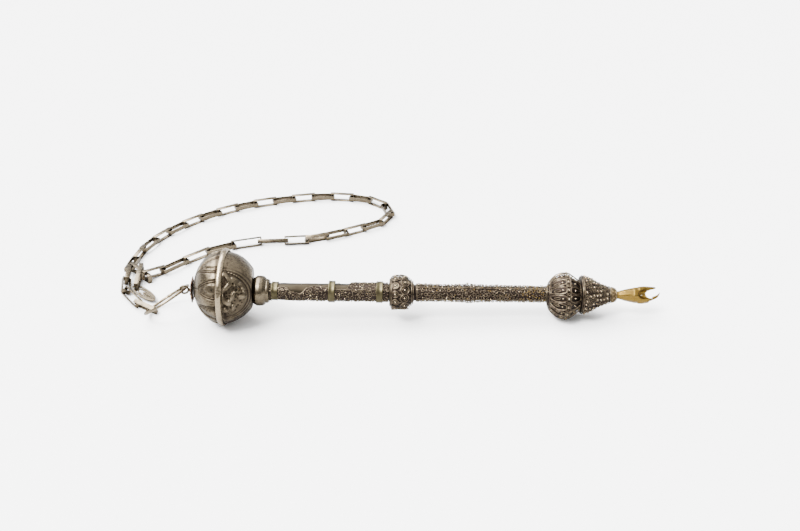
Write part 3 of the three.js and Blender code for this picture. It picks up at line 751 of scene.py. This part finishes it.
class POINTER_OT_knob(bpy.types.Operator):
    """Models the round knob: two chased domes, the belt over their seam and the collar"""
    bl_idname = "pointer.knob"
    bl_label = "Knob"

    def execute(self, context):
        self.outer_dome()
        self.inner_dome()
        self.belt()
        self.collar()
        return {"FINISHED"}

    def outer_dome(self):
        """The outer dome: arches with a raised patch in each, and punched ground between them."""
        line = [(-OUTER_DOME_HEIGHT * cos(a), KNOB_RADIUS * sin(a)) for a in np.linspace(0.08, pi / 2, 84)]
        line[-1] = (-0.15, KNOB_RADIUS)

        def chase(x, turn, radius):
            height = share(-x / OUTER_DOME_HEIGHT)
            s = sector(turn, ARCHES_TURN, ARCHES) * (radius + 6) * 0.9
            t = height * OUTER_DOME_HEIGHT * 1.25
            arch = np.abs(s) / ARCH_HALF_WIDTH - np.sqrt(share(1 - (t / ARCH_HEIGHT) ** 2))
            inside = within(arch, 26)
            border = edge_band(arch, 0.07) + edge_band(arch + 0.22, 0.045)
            beads = edge_band(arch + 0.12, 0.05) * (0.5 + 0.5 * np.cos(t * 4.5))
            inner = np.abs(s + 0.6) / 3.3 - np.sqrt(share(1 - ((t - 2.5) / 7.5) ** 2))
            patch = within(inner, 18)
            band = edge_band(height - 0.08, 0.05) * (1 - inside)
            collar = edge_band(height - 0.9, 0.035)
            wave = 0.12 * np.sin(turn * 3 + x * 0.3) + 0.09 * np.sin(turn * 7 - x * 0.5)
            spandrel = (1 - inside) * edge_band(height - 0.2, 0.2)
            # Dirt and painted shade along the belt's edge, where the belt stands proud of the dome.
            belt_edge_dirt_and_shade = 0.8 * edge_band(x + 1.6, 1.2)
            leaf = edge_band(np.hypot(s / 2.2, (t - 4.5) / 3.2), 1.0)
            raised = (0.35 * patch * inside - 0.3 * inside * (1 - patch) - 0.4 * border + 0.3 * beads
                      - 0.3 * collar - 0.12 * spandrel)
            return (radius + (raised + wave) * share(radius / 6),
                    0.75 * inside * (1 - leaf) + 0.85 * spandrel + 0.6 * band,
                    border + 0.25 * inside * (1 - patch) + 0.8 * collar + belt_edge_dirt_and_shade + 0.05)

        chased_dome("knob_outer_dome", line, chase)

    def inner_dome(self):
        """The inner dome: two large medallions of foliage inside beaded rims."""
        end = COLLAR_START - 0.25
        angles = np.linspace(pi / 2, acos(end / INNER_DOME_HEIGHT), 84)
        line = [(INNER_DOME_HEIGHT * cos(a), KNOB_RADIUS * sin(a)) for a in angles]
        line[0] = (0.15, KNOB_RADIUS)

        def chase(x, turn, radius):
            local = sector(turn, MEDALLIONS_TURN, MEDALLIONS)
            s = local * (radius + 4) * 0.92
            rim = np.hypot((s - 1.0) / MEDALLION_HALF_WIDTH, (x - 0.6) / MEDALLION_HALF_HEIGHT) - 1
            inside = within(rim, 22)
            border = edge_band(rim, 0.018) + 0.8 * edge_band(rim + 0.09, 0.015)
            beads = edge_band(rim + 0.045, 0.026) * (0.5 + 0.5 * np.cos(np.arctan2(x - 2.2, s) * 56))
            leaves = sum(bump_at(s / 1.35 + 1.5, x / 1.08, *leaf) for leaf in FOLIAGE)
            figure = np.clip(leaves * 1.25 - 0.2, 0, 1.2)
            veins = 0.22 * figure * np.sin(s * 3.4 + x * 2.1) * np.sin(x * 2.9 - s)
            ground = inside * (1 - share(figure * 1.5))
            seam = edge_band(rim - 0.1, 0.025)
            panel = (local < 0) * within(5.5 - x, 2)
            outside = (1 - inside) * (1 - panel)
            # Dirt and painted shade along the belt's edge, where the belt stands proud of the dome.
            belt_edge_dirt_and_shade = 0.5 * edge_band(x - 3.2, 1.2)
            raised = (1.25 * figure * inside + veins - 0.35 * ground - 0.35 * border + 0.32 * beads
                      - 0.2 * seam)
            dents = (-0.45 * edge_band(np.hypot(s + 3, x - 4), 3.0)
                     - 0.4 * edge_band(np.hypot(s - 7, x - 9), 2.4) + 0.14 * np.sin(turn * 5 + x * 0.4))
            edge = share((end - x) / 1.5) * share((x - 1.0) / 1.4)
            return (radius + np.clip(raised + dents, -1.2, 0.95) * edge,
                    ground * share(-(rim + 0.15) * 12) + 0.9 * outside,
                    border + 0.45 * ground + 0.6 * seam + belt_edge_dirt_and_shade + 0.05 * (1 - figure * inside))

        chased_dome("knob_inner_dome", line, chase)

    def belt(self):
        half = [(0.4, 0.04), (0.9, 0.18), (1.35, 0.5), (BELT_HALF, 0.95)]
        line = [(-BELT_HALF, BELT_INNER), *((-x, BELT_OUTER - drop) for x, drop in reversed(half)),
                (0, BELT_OUTER), *((x, BELT_OUTER - drop) for x, drop in half), (BELT_HALF, BELT_INNER)]
        strap = turned("belt", line, 200, endless=True)

        def knock(x, turn, radius):
            outer = share((radius - BELT_INNER) / 1.0)
            dents = (0.2 * np.sin(turn * 4 + 0.7) * np.sin(turn * 9 + x)
                     + 0.22 * edge_band(turn - 1.15, 0.09) * (x + 1.6) - 0.16 * edge_band(turn - 0.62, 0.16))
            slide = 0.13 * np.sin(turn * 5) + 0.1 * np.sin(turn * 11 + 1)
            return x + slide * outer * 0.8, radius - np.abs(dents) * outer * 0.6

        reshape(strap, knock)
        set_askew(strap, 0, BELT_SLANT, BELT_SHIFT)
        dress(strap, "knob_belt_strap", "rubbed", "knob_belt", KNOB)

    def collar(self):
        bead = turned("collar", smooth_line(lengthened(COLLAR_LINE), 46), 120)
        set_askew(bead, 21.5, COLLAR_SLANT)
        dress(bead, "knob_collar_bead", "dim", "knob_collar")


class POINTER_OT_rosette(bpy.types.Operator):
    """Models the petalled rosette on the knob's pole, the eye on it and the ring that hangs in the eye"""
    bl_idname = "pointer.rosette"
    bl_label = "Rosette, eye and ring"

    def execute(self, context):
        back = -OUTER_DOME_HEIGHT - 0.35
        deselect()
        bpy.ops.mesh.primitive_grid_add(x_subdivisions=8, y_subdivisions=8, size=1)
        petal = context.object
        for point in petal.data.vertices:
            along, across = point.co.x + 0.5, point.co.y * 2
            width = 2.9 * sin(pi * min(1, 0.14 + along * 0.78)) ** 0.6
            reach = 2.0 + 6.2 * along
            dome = -OUTER_DOME_HEIGHT * sqrt(1 - (reach / KNOB_RADIUS) ** 2)
            lift = 0.5 + 0.6 * (1 - across ** 2) * sin(pi * along)
            point.co = (0.8 * back + 0.2 * dome - lift, across * width, reach)
        apply_modifier(petal, "SOLIDIFY", thickness=0.45, offset=0)
        apply_modifier(petal, "SUBSURF", levels=1, render_levels=1)
        rng = random.Random(sizes().seed)
        places = [rolled(2 * pi * (i + 0.5) / PETALS_OF_ROSETTE, "X")
                  @ rolled(radians(rng.uniform(-3, 1)), "Y") for i in range(PETALS_OF_ROSETTE)]
        petals = copies("petals", petal, places)
        profile = ((back - 1.7, 1.8), (back - 1.5, 2.8), (back - 0.9, 3.6), (back, 4.4))
        middle = turned("rosette_middle", profile, 40)
        dress(joined(petals, middle), "rosette_petals", "rosette", "rosette")
        beads = copies("beads", grain(0.42), [
            moved(*around(back - 1.5 - 0.1 * (i % 2), 2 * pi * i / BEADS_OF_ROSETTE, 3.0))
            for i in range(BEADS_OF_ROSETTE)])
        dress(beads, "rosette_beads", "rosette", angle=0)
        self.eye()
        self.ring()
        return {"FINISHED"}

    def eye(self):
        loop = wire_ring(2.35, 0.64, 40, 12)
        loop.data.transform(rolled(pi / 2, "X"))
        stem = turned("stem", ((0, 0.75), (0.3, 1.0), (0.7, 0.8), (1.1, 1.15), (1.7, 1.3)), 28)
        stem.data.transform(moved(2.6))
        whole = joined(loop, stem)
        outer = -OUTER_DOME_HEIGHT - 0.3 - 1.1 - 0.55 - 0.3 - 2.35 - 0.6 - 0.4
        whole.data.transform(moved(outer))
        dress(whole, "ring_eye_loop", "dim", "ring_eye")

    def ring(self):
        matrix, size, _ = lie_of("suspension_ring")
        wire = size[2] / 2
        reach = size[0] / 2 - wire
        ring = wire_ring(reach, wire * 1.1, 140, 14)
        profile = ((-1.4, wire * 1.12), (-1.2, wire * 1.3), (1.2, wire * 1.3), (1.4, wire * 1.12))
        sleeve = turned("sleeve", profile, 18)
        sleeve.data.transform(rolled(2.4, "Z") @ moved(y=reach))
        dress(joined(ring, sleeve), "suspension_ring_wire", "plain", "suspension_ring", TABLE @ matrix)


def sheath_span(edges, x):
    xs, starts, ends = zip(*edges)
    return np.interp(x, xs, starts), np.interp(x, xs, ends)


class POINTER_OT_handle(bpy.types.Operator):
    """Models the handle tube, what is left of its filigree sheath, and the three bands"""
    bl_idname = "pointer.handle"
    bl_label = "Handle"

    def execute(self, context):
        line = lengthened(((TUBE_START, TUBE_RADIUS), (TUBE_END, TUBE_RADIUS)))
        tube = turned("tube", smooth_line(line, 60), 72)

        def worn(x, turn, radius):
            waves = 0.09 * np.abs(np.sin(x * 0.21 + turn * 2)) * (radius > 1)
            return x, radius - waves - 0.06 * np.abs(np.sin(x * 0.53))

        reshape(tube, worn)
        dress(tube, "handle_tube_bare", "dull", "handle_tube")
        rng = random.Random(sizes().seed + 1)
        self.sheath("filigree_sheath", SHEATH_EDGES, rng)
        self.sheath("filigree_sheath_stub", SHEATH_STUB_EDGES, rng)
        self.bands()
        return {"FINISHED"}

    def sheath(self, node, edges, rng):
        """A torn shell with a ragged edge, under circles, scrolls and grains in rows."""
        first, last = edges[0][0], edges[-1][0]
        rows = max(4, int((last - first) / 0.35))
        columns = 60
        stations = np.linspace(first, last, rows)
        ragged = [rng.uniform(-1, 1) for _ in range(rows * 2)]
        points = []
        for i, x in enumerate(stations):
            start, end = sheath_span(edges, x)
            start += 5 * ragged[i] if start > SEAM_TURNS[0] else 0
            end += 5 * ragged[rows + i] if end < SEAM_TURNS[1] else 0
            for turn in np.linspace(radians(start), radians(end), columns):
                points.append(around(x, turn, SHEATH_RADIUS))
        mesh_object(node, points, [], grid_faces(rows, columns))
        edit_all()
        shell = faced_outwards()
        apply_modifier(shell, "SOLIDIFY", thickness=0.18, offset=0)
        dress(shell, node + "_ground", "ground", node)

        circles, scrolls, grains, bright = [], [], [], []
        pitch = 2.3
        x = first + 0.5
        row = 0
        while x < last - 0.4:
            start, end = sheath_span(edges, x)
            steps = int((end - start) / 360 * 2 * pi * SHEATH_RADIUS / pitch)
            for j in range(steps + 1):
                turn = radians(start + 7 + (end - start - 14) * (j + 0.5 * (row % 2)) / max(1, steps + 0.5))
                place = (seat(x + sway(rng, 0.25), turn, SHEATH_RADIUS + 0.25, 0, rng.uniform(0, 6))
                         @ rolled(sway(rng, 0.22), "Y"))
                if j == 0 or rng.random() < 0.88:
                    (scrolls if rng.random() < 0.45 else circles).append(place)
                spot = place @ moved(sway(rng, 0.8), sway(rng, 0.8), 0.15)
                if rng.random() < 0.6:
                    (bright if rng.random() < 0.35 else grains).append(spot)
            x += pitch * 0.86
            row += 1
        wires = [copies("circles", wire_ring(0.82, 0.2, 12, 5), circles)]
        if scrolls:
            wires.append(copies("scrolls", scroll(1.05, 0.19), scrolls))
        wires.append(strands("edges", self.edge_paths(edges, stations, rng), 0.24))
        if last - first > 10:
            wires.append(strands("seam", [[around(x, radians(48) + 0.03 * sin(x), SHEATH_RADIUS + 0.35)
                                           for x in np.linspace(64.8, last, 30)]], 0.24))
        dress(joined(*wires), node + "_wire", "wire")
        for label, spots, size, metal in (("grains", grains, 0.3, "wire"),
                                          ("bright_grains", bright, 0.36, "grains")):
            if spots:
                dress(copies(label, grain(size), spots), f"{node}_{label}", metal)

    def edge_paths(self, edges, stations, rng):
        paths = []
        for side in (0, 1):
            path = []
            for x in stations[::3]:
                turn = radians(sheath_span(edges, x)[side] + sway(rng, 3))
                path.append(around(x, turn, SHEATH_RADIUS + 0.15))
            if len(path) > 1:
                paths.append(path)
        return paths

    def bands(self):
        half = BAND_WIDTH / 2
        for number, (place, inner) in enumerate(BANDS, 1):
            outer = inner + 0.4
            line = ((-half, inner), (-half, outer - 0.12), (-half + 0.15, outer), (-half + 0.45, outer),
                    (-half + 0.6, outer - 0.1), (half - 0.6, outer - 0.1), (half - 0.45, outer),
                    (half - 0.15, outer), (half, outer - 0.12), (half, inner))
            band = turned("band", [(place + x, radius) for x, radius in line], 64, endless=True)
            whole = joined(band, self.lap(place, inner + 0.28, half, number))
            set_askew(whole, place, number - 5)
            dress(whole, f"handle_band_{number}", "brass", f"band_{number}")

    def lap(self, place, radius, half, number):
        """The short overlap where a band's ends meet."""
        strip = unit_cube(half * 1.9, 0.9, 0.24)
        apply_modifier(strip, "BEVEL", width=0.08, segments=2)
        strip.data.transform(seat(place, radians(150 + 40 * number), radius))
        return strip


def scroll(size, wire):
    """An S-shaped scroll of wire, lying in its own XY plane."""
    path = []
    for i in range(19):
        u = i / 18 * 2 - 1
        sweep = u * 2.6
        reach = size * (1 - 0.55 * abs(u))
        path.append((size * 0.55 * copysign(1, u) * (abs(u) ** 0.5) - reach * 0.4 * sin(sweep) * 0.6,
                     reach * sin(sweep), 0))
    return strands("scroll", [path], wire)


def petal_outline(line, x_from, x_to, turn, half_width, lift):
    """A closed petal outline on a body of revolution, from one station to the other."""
    path = []
    for i in range(28):
        angle = 2 * pi * i / 28
        x = x_from + (x_to - x_from) * (1 - cos(angle)) / 2
        side = copysign(abs(sin(angle)) ** 0.6, sin(angle))
        path.append(around(x, turn + side * half_width, line_at(line, x) + lift))
    return path


class POINTER_OT_middle_knop(bpy.types.Operator):
    """Models the middle knop: a dark core under two rows of wire circles with a grain in each"""
    bl_idname = "pointer.middle_knop"
    bl_label = "Middle knop"

    def execute(self, context):
        line = MIDDLE_KNOP_LINE
        dark_core("middle_knop", line, 1.0, 24, 72)
        count = sizes().circles
        wire, bead = sizes().wire, sizes().grain
        rng = random.Random(sizes().seed + 4)
        parts, beads = [], []
        for x, radius, shift in ((98.4, 1.8, 0.0), (103.7, 2.4, 0.5)):
            slope = slope_at(line, x)
            seats = [seat(x + sway(rng, 0.2), 2 * pi * (i + shift) / count + 0.12 + sway(rng, 0.03),
                          line_at(line, x) - 0.2, slope + sway(rng, 0.12)) for i in range(count)]
            parts.append(copies("circles", wire_ring(radius, wire * 1.5, 22, 6), seats))
            parts.append(copies("inner", wire_ring(radius * 0.56, wire * 1.1, 16, 6), seats))
            beads += [place @ moved(z=0.15) for place in seats]
        hoops = [hoop(line, x, 60) for x in (95.5, 96.2, 107.6, 108.6)]
        parts.append(strands("hoops", hoops, wire * 1.4, closed=True))
        posts = [[around(x, pi * i / count + 0.12, line_at(line, x) - 0.35) for x in (100.2, 101.0, 101.8)]
                 for i in range(count * 2)]
        parts.append(strands("posts", posts, wire * 1.2))
        hanging = [[around(96.6 + 0.95 * i, radians(148 + 9 * k) + 0.04 * i, 9.9 + 0.14 * k - 0.05 * i)
                    for i in range(10)] for k in range(4)]
        parts.append(strands("loose", hanging, wire * 1.4))
        dress(joined(*parts), "middle_knop_wire", "wire")
        small = [seat(x, 2 * pi * (i + shift) / (count * 2) + 0.12, line_at(line, x) - 0.05)
                 for x, shift in ((96.9, 0.5), (106.7, 0.0), (101.0, 0.25)) for i in range(count * 2)]
        dress(copies("beads", grain(bead * 1.5), beads), "middle_knop_grains", "grains")
        dress(copies("small", grain(bead * 0.85, 1), small), "middle_knop_rim_grains", "wire")
        return {"FINISHED"}


class POINTER_OT_shaft(bpy.types.Operator):
    """Models the upper shaft: a dark core, wires along it, and small scrolls and grains between them"""
    bl_idname = "pointer.shaft"
    bl_label = "Upper shaft"

    def execute(self, context):
        line = SHAFT_LINE
        wire = sizes().wire
        dark_core("upper_shaft", lengthened(line), 0.45, 80, 48)
        rng = random.Random(sizes().seed + 2)
        first, last = line[0][0] + 0.3, line[-1][0] - 0.2
        straight = [[around(x, radians(seam) + side + 0.015 * sin(x * 0.4), line_at(line, x) + 0.05)
                     for x in np.linspace(first, last, 60)]
                    for seam in (22, 112, 202, 292) for side in (-0.05, 0.05)]
        parts = [strands("straight", straight, wire)]
        circles, scrolls, heaps = [], [], {"dull": [], "bright": [], "gilded": []}
        columns = 14
        for k in range(columns):
            turn = 2 * pi * k / columns + 0.3
            x = first + 0.9 + 0.8 * (k % 2)
            while x < last - 0.8:
                crust = 0.35 * exp(-((x - CRUST_MIDDLE) / 9) ** 2)
                place = (seat(x, turn + sway(rng, 0.09), line_at(line, x) - 0.1 + rng.uniform(0, 0.25)
                              + crust, 0, rng.uniform(0, 6)) @ rolled(sway(rng, 0.35), "Y"))
                (circles if rng.random() < 0.5 else scrolls).append(place)
                for _ in range(2):
                    spot = place @ moved(sway(rng, 1), sway(rng, 0.9), rng.uniform(0, 0.3))
                    chance = rng.random()
                    gold = 0.55 if x > GILDED_FROM and cos(turn - radians(62)) > 0.2 else 0.07
                    if chance < gold:
                        heaps["gilded"].append(spot)
                    elif chance < gold + 0.1:
                        heaps["bright"].append(spot)
                    elif chance < 0.75:
                        heaps["dull"].append(spot)
                x += rng.uniform(1.8, 2.4)
        parts.append(copies("circles", wire_ring(0.85, wire * 0.95, 12, 5), circles))
        parts.append(copies("scrolls", scroll(1.05, wire * 0.95), scrolls))
        hoops = [hoop(line, x, 36) for x in (first, first + 0.7, 138.9, 143.1, last - 0.8, last - 0.1)]
        parts.append(strands("hoops", hoops, wire * 1.1, closed=True))
        dress(joined(*parts), "upper_shaft_wire", "wire")
        for label, size, metal in (("dull", 0.33, "wire"), ("bright", 0.4, "grains"),
                                   ("gilded", 0.34, "gilt")):
            dress(copies(label, grain(size, 1), heaps[label]), f"upper_shaft_{label}_grains", metal)
        return {"FINISHED"}


class POINTER_OT_large_knop(bpy.types.Operator):
    """Models the large knop: a dark core, wire petals from both ends and small circles round its middle"""
    bl_idname = "pointer.large_knop"
    bl_label = "Large knop"

    def execute(self, context):
        line = LARGE_KNOP_LINE
        wire, bead = sizes().wire, sizes().grain
        petals = sizes().petals

        def lobes(x, turn, radius):
            return x, radius + 0.45 * np.cos(turn * petals) * (radius > 4)

        dark_core("large_knop", lengthened(line), 1.9, 40, petals * 8, KNOP, lobes)
        step = 2 * pi / petals
        rng = random.Random(sizes().seed + 5)
        outlines, inner, beads, rings, small_rings, tiny = [], [], [], [], [], []
        for i in range(petals):
            turn = step * i
            outlines.append(petal_outline(line, 187.0, 195.6, turn, step * 0.42, 0.0))
            outlines.append(petal_outline(line, 197.9, 204.3, turn, step * 0.43, 0.0))
            inner.append(petal_outline(line, 188.8, 192.0, turn, step * 0.13, -0.9))
            beads.append(seat(193.6 + sway(rng, 0.3), turn, line_at(line, 193.6) - 0.5))
            beads.append(seat(200.6 + sway(rng, 0.3), turn, line_at(line, 200.6) - 0.4))
            rings.append(seat(KNOP_WAIST, turn, line_at(line, KNOP_WAIST) - 0.1))
            small_rings.append(seat(KNOP_WAIST, turn + step / 2, line_at(line, KNOP_WAIST) - 0.15))
            for x in (189.6, 202.6, 198.7, 195.3):
                tiny.append(seat(x + sway(rng, 0.3), turn + step / 2, line_at(line, x) - 0.35))
        hoops = [hoop(line, x, 96, lift) for x, lift in ((186.7, 0.0), (187.4, -0.2), (195.6, -0.15),
                                                         (197.8, -0.15), (204.4, -0.1))]
        parts = [
            strands("outlines", outlines, wire * 1.4, closed=True),
            strands("inner", inner, wire, closed=True),
            strands("hoops", hoops, wire, closed=True),
            copies("rings", wire_ring(0.85, wire * 1.1, 14, 6), rings),
            copies("small_rings", wire_ring(0.6, wire, 12, 6), small_rings),
        ]
        dress(joined(*parts), "large_knop_wire", "wire", matrix=KNOP)
        beads += [place @ moved(z=0.2) for place in rings]
        dress(copies("beads", grain(bead * 1.35), beads), "large_knop_grains", "grains", matrix=KNOP)
        dress(copies("tiny", grain(bead * 0.9, 1), tiny), "large_knop_small_grains", "wire", matrix=KNOP)
        return {"FINISHED"}


class POINTER_OT_bell(bpy.types.Operator):
    """Models the bell below the large knop, its circles and grains, and the gilt crown at its tip"""
    bl_idname = "pointer.bell"
    bl_label = "Bell and crown"

    def execute(self, context):
        line = BELL_LINE
        wire, bead = sizes().wire, sizes().grain
        rng = random.Random(sizes().seed + 3)
        dark_core("bell", line, 0.6, 30, 72)
        circles, grains, bright = [], [], []
        first, last, pitch, spacing = 207.4, 221.8, 2.1, 2.5
        x, row = first, 0
        while x < last:
            radius = line_at(line, x)
            slope = slope_at(line, x)
            count = int(2 * pi * radius / spacing)
            for i in range(count):
                turn = 2 * pi * (i + 0.5 * (row % 2)) / count
                place = seat(x + sway(rng, 0.2), turn + sway(rng, 0.03), radius - 0.3, slope)
                if rng.random() < 0.85:
                    circles.append(place)
                (bright if rng.random() < 0.6 else grains).append(place @ moved(z=0.35))
                grains.append(seat(x + 1.0, turn + pi / count, line_at(line, x + 1.0) - 0.25))
            x += pitch
            row += 1
        hoops = [hoop(line, x, 72, lift) for x, lift in ((205.3, 0.0), (206.0, 0.05), (221.9, 0.0))]
        wires = joined(copies("circles", wire_ring(0.9, wire, 14, 6), circles),
                       strands("hoops", hoops, wire * 1.5, closed=True))
        dress(wires, "bell_wire", "wire")
        dress(copies("grains", grain(bead * 0.95, 1), grains), "bell_grains", "wire")
        dress(copies("bright", grain(bead * 1.35), bright), "bell_bright_grains", "grains")
        self.crown()
        return {"FINISHED"}

    def crown(self):
        line = CROWN_LINE
        core = turned("crown", smooth_line(lengthened([(x, r - 0.5) for x, r in line]), 8), 40)
        x = 224.1
        loops = [seat(x, 2 * pi * i / LOOPS_OF_CROWN, line_at(line, x) - 0.1, slope_at(line, x))
                 for i in range(LOOPS_OF_CROWN)]
        hoops = strands("hoops", [hoop(line, end, 40) for end in (222.8, 225.4)], 0.2, closed=True)
        whole = joined(core, copies("loops", wire_ring(0.95, 0.22, 14, 6), loops), hoops)
        dress(whole, "bell_crown_loops", "crown", "bell_crown")


def lofted(name, rows, sides=20):
    """A closed body through oval sections: distance, rise, half height, half width."""
    points = []
    for x, rise, half_height, half_width in rows:
        for j in range(sides):
            turn = 2 * pi * j / sides
            points.append((x, half_width * sin(turn), rise + half_height * cos(turn)))
    last = (len(rows) - 1) * sides
    faces = grid_faces(len(rows), sides, closed=True)
    faces += [tuple(range(sides)), tuple(reversed(range(last, last + sides)))]
    mesh_object(name, points, [], faces)
    edit_all()
    return faced_outwards()


class POINTER_OT_hand(bpy.types.Operator):
    """Models the gilt hand: a faceted cuff, a hollow palm, the thumb and the longer, hooked finger"""
    bl_idname = "pointer.hand"
    bl_label = "Hand"

    def execute(self, context):
        def at(share_of_length):
            return HAND_START + HAND_LENGTH * share_of_length

        def section_body(name, sides, *table):
            return lofted(name, [(at(part), *row) for part, *row in table], sides)

        cuff = section_body("cuff", 8, (0, 0, 2.15, 2.15), (0.06, 0, 2.35, 2.3), (0.2, 0, 3.4, 2.95),
                            (0.38, 0, 4.35, 3.5), (0.4, 0, 4.6, 3.65), (0.46, 0, 4.65, 3.6),
                            (0.57, 0, 5.1, 3.45), (0.66, 0, 4.75, 2.95), (0.74, 0, 4.3, 2.5))
        thumb = section_body("thumb", 14, (0.5, 3.4, 1.6, 2.5), (0.62, 3.95, 1.35, 2.1),
                             (0.74, 4.05, 1.1, 1.6), (0.83, 4.2, 0.75, 1.1), (0.885, 4.35, 0.45, 0.65))
        finger = section_body("finger", 14, (0.5, -2.9, 2.1, 2.6), (0.64, -2.9, 1.7, 2.1),
                              (0.75, -2.3, 1.25, 1.6), (0.86, -1.4, 0.95, 1.2), (0.93, -0.45, 0.9, 0.95),
                              (0.965, 0.6, 0.7, 0.7), (0.985, 1.7, 0.4, 0.42))
        gap = section_body("gap", 16, (0.665, 0.95, 0.5, 2.5), (0.7, 0.85, 2.0, 5.5), (0.76, 0.8, 2.5, 5.5),
                           (0.82, 0.75, 2.7, 5.5))
        palm = grain(1, 4)
        palm.data.transform(moved(at(0.63), -3.3, 0.85) @ Matrix.Diagonal((4.2, 3.0, 2.75, 1)))
        body = joined(cuff, thumb, finger)
        apply_modifier(body, "REMESH", mode="VOXEL", voxel_size=0.16)
        for cutter in (gap, palm):
            apply_modifier(body, "BOOLEAN", operation="DIFFERENCE", object=cutter, solver="EXACT")
            bpy.data.objects.remove(cutter)
        apply_modifier(body, "REMESH", mode="VOXEL", voxel_size=0.16)
        apply_modifier(body, "SMOOTH", factor=0.5, iterations=3)
        body.data.transform(rolled(HAND_ROLL, "X"))
        along = coordinates(body.data)[:, 0]
        set_mask(body, "relief", 0.6 * share((along - HAND_START - HAND_LENGTH * 0.7) / (HAND_LENGTH * 0.2)))
        bead = grain(0.5)
        bead.data.transform(seat(at(0.56), radians(62), 1.9))
        dress(bead, "palm_bead", "grains", slot="gilt_silver")
        dress(body, "pointing_hand_gilt", "hand", "pointing_hand", angle=50)
        return {"FINISHED"}


def strip_link(length, width, depth):
    """A link bent from flat strip, with rounded corners, lying in its own XY plane."""
    link = unit_cube(length, width, depth)
    bpy.ops.object.mode_set(mode="EDIT")
    shape = bmesh.from_edit_mesh(link.data)
    for face in shape.faces:
        face.select_set(abs(face.normal.z) > 0.5)
    bmesh.update_edit_mesh(link.data)
    bpy.ops.mesh.delete(type="ONLY_FACE")
    shape = bmesh.from_edit_mesh(link.data)
    for edge in shape.edges:
        edge.select_set(abs(edge.verts[0].co.z - edge.verts[1].co.z) > depth * 0.5)
    bmesh.update_edit_mesh(link.data)
    bpy.ops.mesh.bevel(offset=LINK_CORNER, segments=4)
    faced_outwards()
    apply_modifier(link, "SOLIDIFY", thickness=LINK_WALL, offset=-1, use_even_offset=True)
    apply_modifier(link, "BEVEL", width=0.09, segments=2, limit_method="ANGLE", angle_limit=BEVEL_ANGLE)
    return link


def strip_oval(name, length, width, shift, breadth, depth):
    """An oval bent from flat strip, with rounded edges."""
    def outline(reach, half_width):
        return [(reach * cos(a) + shift, half_width * copysign(abs(sin(a)) ** 0.85, sin(a)))
                for a in np.linspace(0, 2 * pi, 64, endpoint=False)]

    rings = (outline(length / 2, width / 2), outline(length / 2 - breadth, width / 2 - breadth))
    points = [(x, y, z) for z in (-depth / 2, depth / 2) for ring in rings for x, y in ring]
    count = len(rings[0])
    faces = []
    for j in range(count):
        k = (j + 1) % count
        faces += [(j, k, 2 * count + k, 2 * count + j), (count + k, count + j, 3 * count + j, 3 * count + k),
                  (k, j, count + j, count + k), (2 * count + j, 2 * count + k, 3 * count + k, 3 * count + j)]
    item = mesh_object(name, points, [], faces)
    apply_modifier(item, "BEVEL", width=0.2, segments=2, limit_method="ANGLE", angle_limit=BEVEL_ANGLE)
    return item


class POINTER_OT_chain(bpy.types.Operator):
    """Models every link of the chain from strip, at its node's length and lie, and the clasp"""
    bl_idname = "pointer.chain"
    bl_label = "Chain and clasp"

    def execute(self, context):
        for name in sorted(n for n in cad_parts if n.startswith("chain_link_")):
            matrix, size, _ = lie_of(name)
            dress(strip_link(*size), name + "_strip", "chain", name, TABLE @ matrix, angle=35)
        self.clasp()
        return {"FINISHED"}

    def clasp(self):
        matrix, size, local = lie_of("oval_clasp")
        side = copysign(1, local[:, 0].mean())
        end = size[0] / 2
        outer = strip_oval("outer", size[0], size[1], 0, 1.15, 0.95)
        middle = strip_oval("middle", 16.6, 4.9, side * (end - 9.2), 0.9, 0.8)
        inner = strip_oval("inner", 10.0, 2.6, side * (end - 7.4), 0.7, 0.7)
        tongue = strands("tongue", [[(side * (end - x), 0, 0) for x in (0.6, 3.0, 5.4, 7.8, 11.0)]], 0.5)
        whole = joined(outer, middle, inner, tongue)
        dress(whole, "oval_clasp_strip", "dim", "oval_clasp", TABLE @ matrix)


class POINTER_PT_panel(bpy.types.Panel):
    bl_label = "Torah Pointer"
    bl_idname = "POINTER_PT_panel"
    bl_space_type = "VIEW_3D"
    bl_region_type = "UI"
    bl_category = "Pointer"

    def draw(self, context):
        layout = self.layout
        for group in (context.scene.pointer_tones, context.scene.pointer_sizes, context.scene.pointer_studio):
            box = layout.box()
            for key in group.__annotations__:
                box.prop(group, key)
        for operator in OPERATORS:
            layout.operator(operator.bl_idname)


OPERATORS = (POINTER_OT_stage, POINTER_OT_knob, POINTER_OT_rosette, POINTER_OT_handle, POINTER_OT_middle_knop,
             POINTER_OT_shaft, POINTER_OT_large_knop, POINTER_OT_bell, POINTER_OT_hand, POINTER_OT_chain)
CLASSES = (PointerTones, PointerSizes, PointerStudio, *OPERATORS, POINTER_PT_panel)


def register():
    for item in CLASSES:
        bpy.utils.register_class(item)
    bpy.types.Scene.pointer_tones = PointerProperty(type=PointerTones)
    bpy.types.Scene.pointer_sizes = PointerProperty(type=PointerSizes)
    bpy.types.Scene.pointer_studio = PointerProperty(type=PointerStudio)


def unregister():
    del bpy.types.Scene.pointer_studio
    del bpy.types.Scene.pointer_sizes
    del bpy.types.Scene.pointer_tones
    for item in reversed(CLASSES):
        bpy.utils.unregister_class(item)


def main():
    register()
    make_metals(bpy.context.scene.pointer_tones)
    bpy.ops.pointer.stage()
    bpy.ops.pointer.knob()
    bpy.ops.pointer.rosette()
    bpy.ops.pointer.handle()
    bpy.ops.pointer.middle_knop()
    bpy.ops.pointer.shaft()
    bpy.ops.pointer.large_knop()
    bpy.ops.pointer.bell()
    bpy.ops.pointer.hand()
    bpy.ops.pointer.chain()


if __name__ == "__main__":
    main()
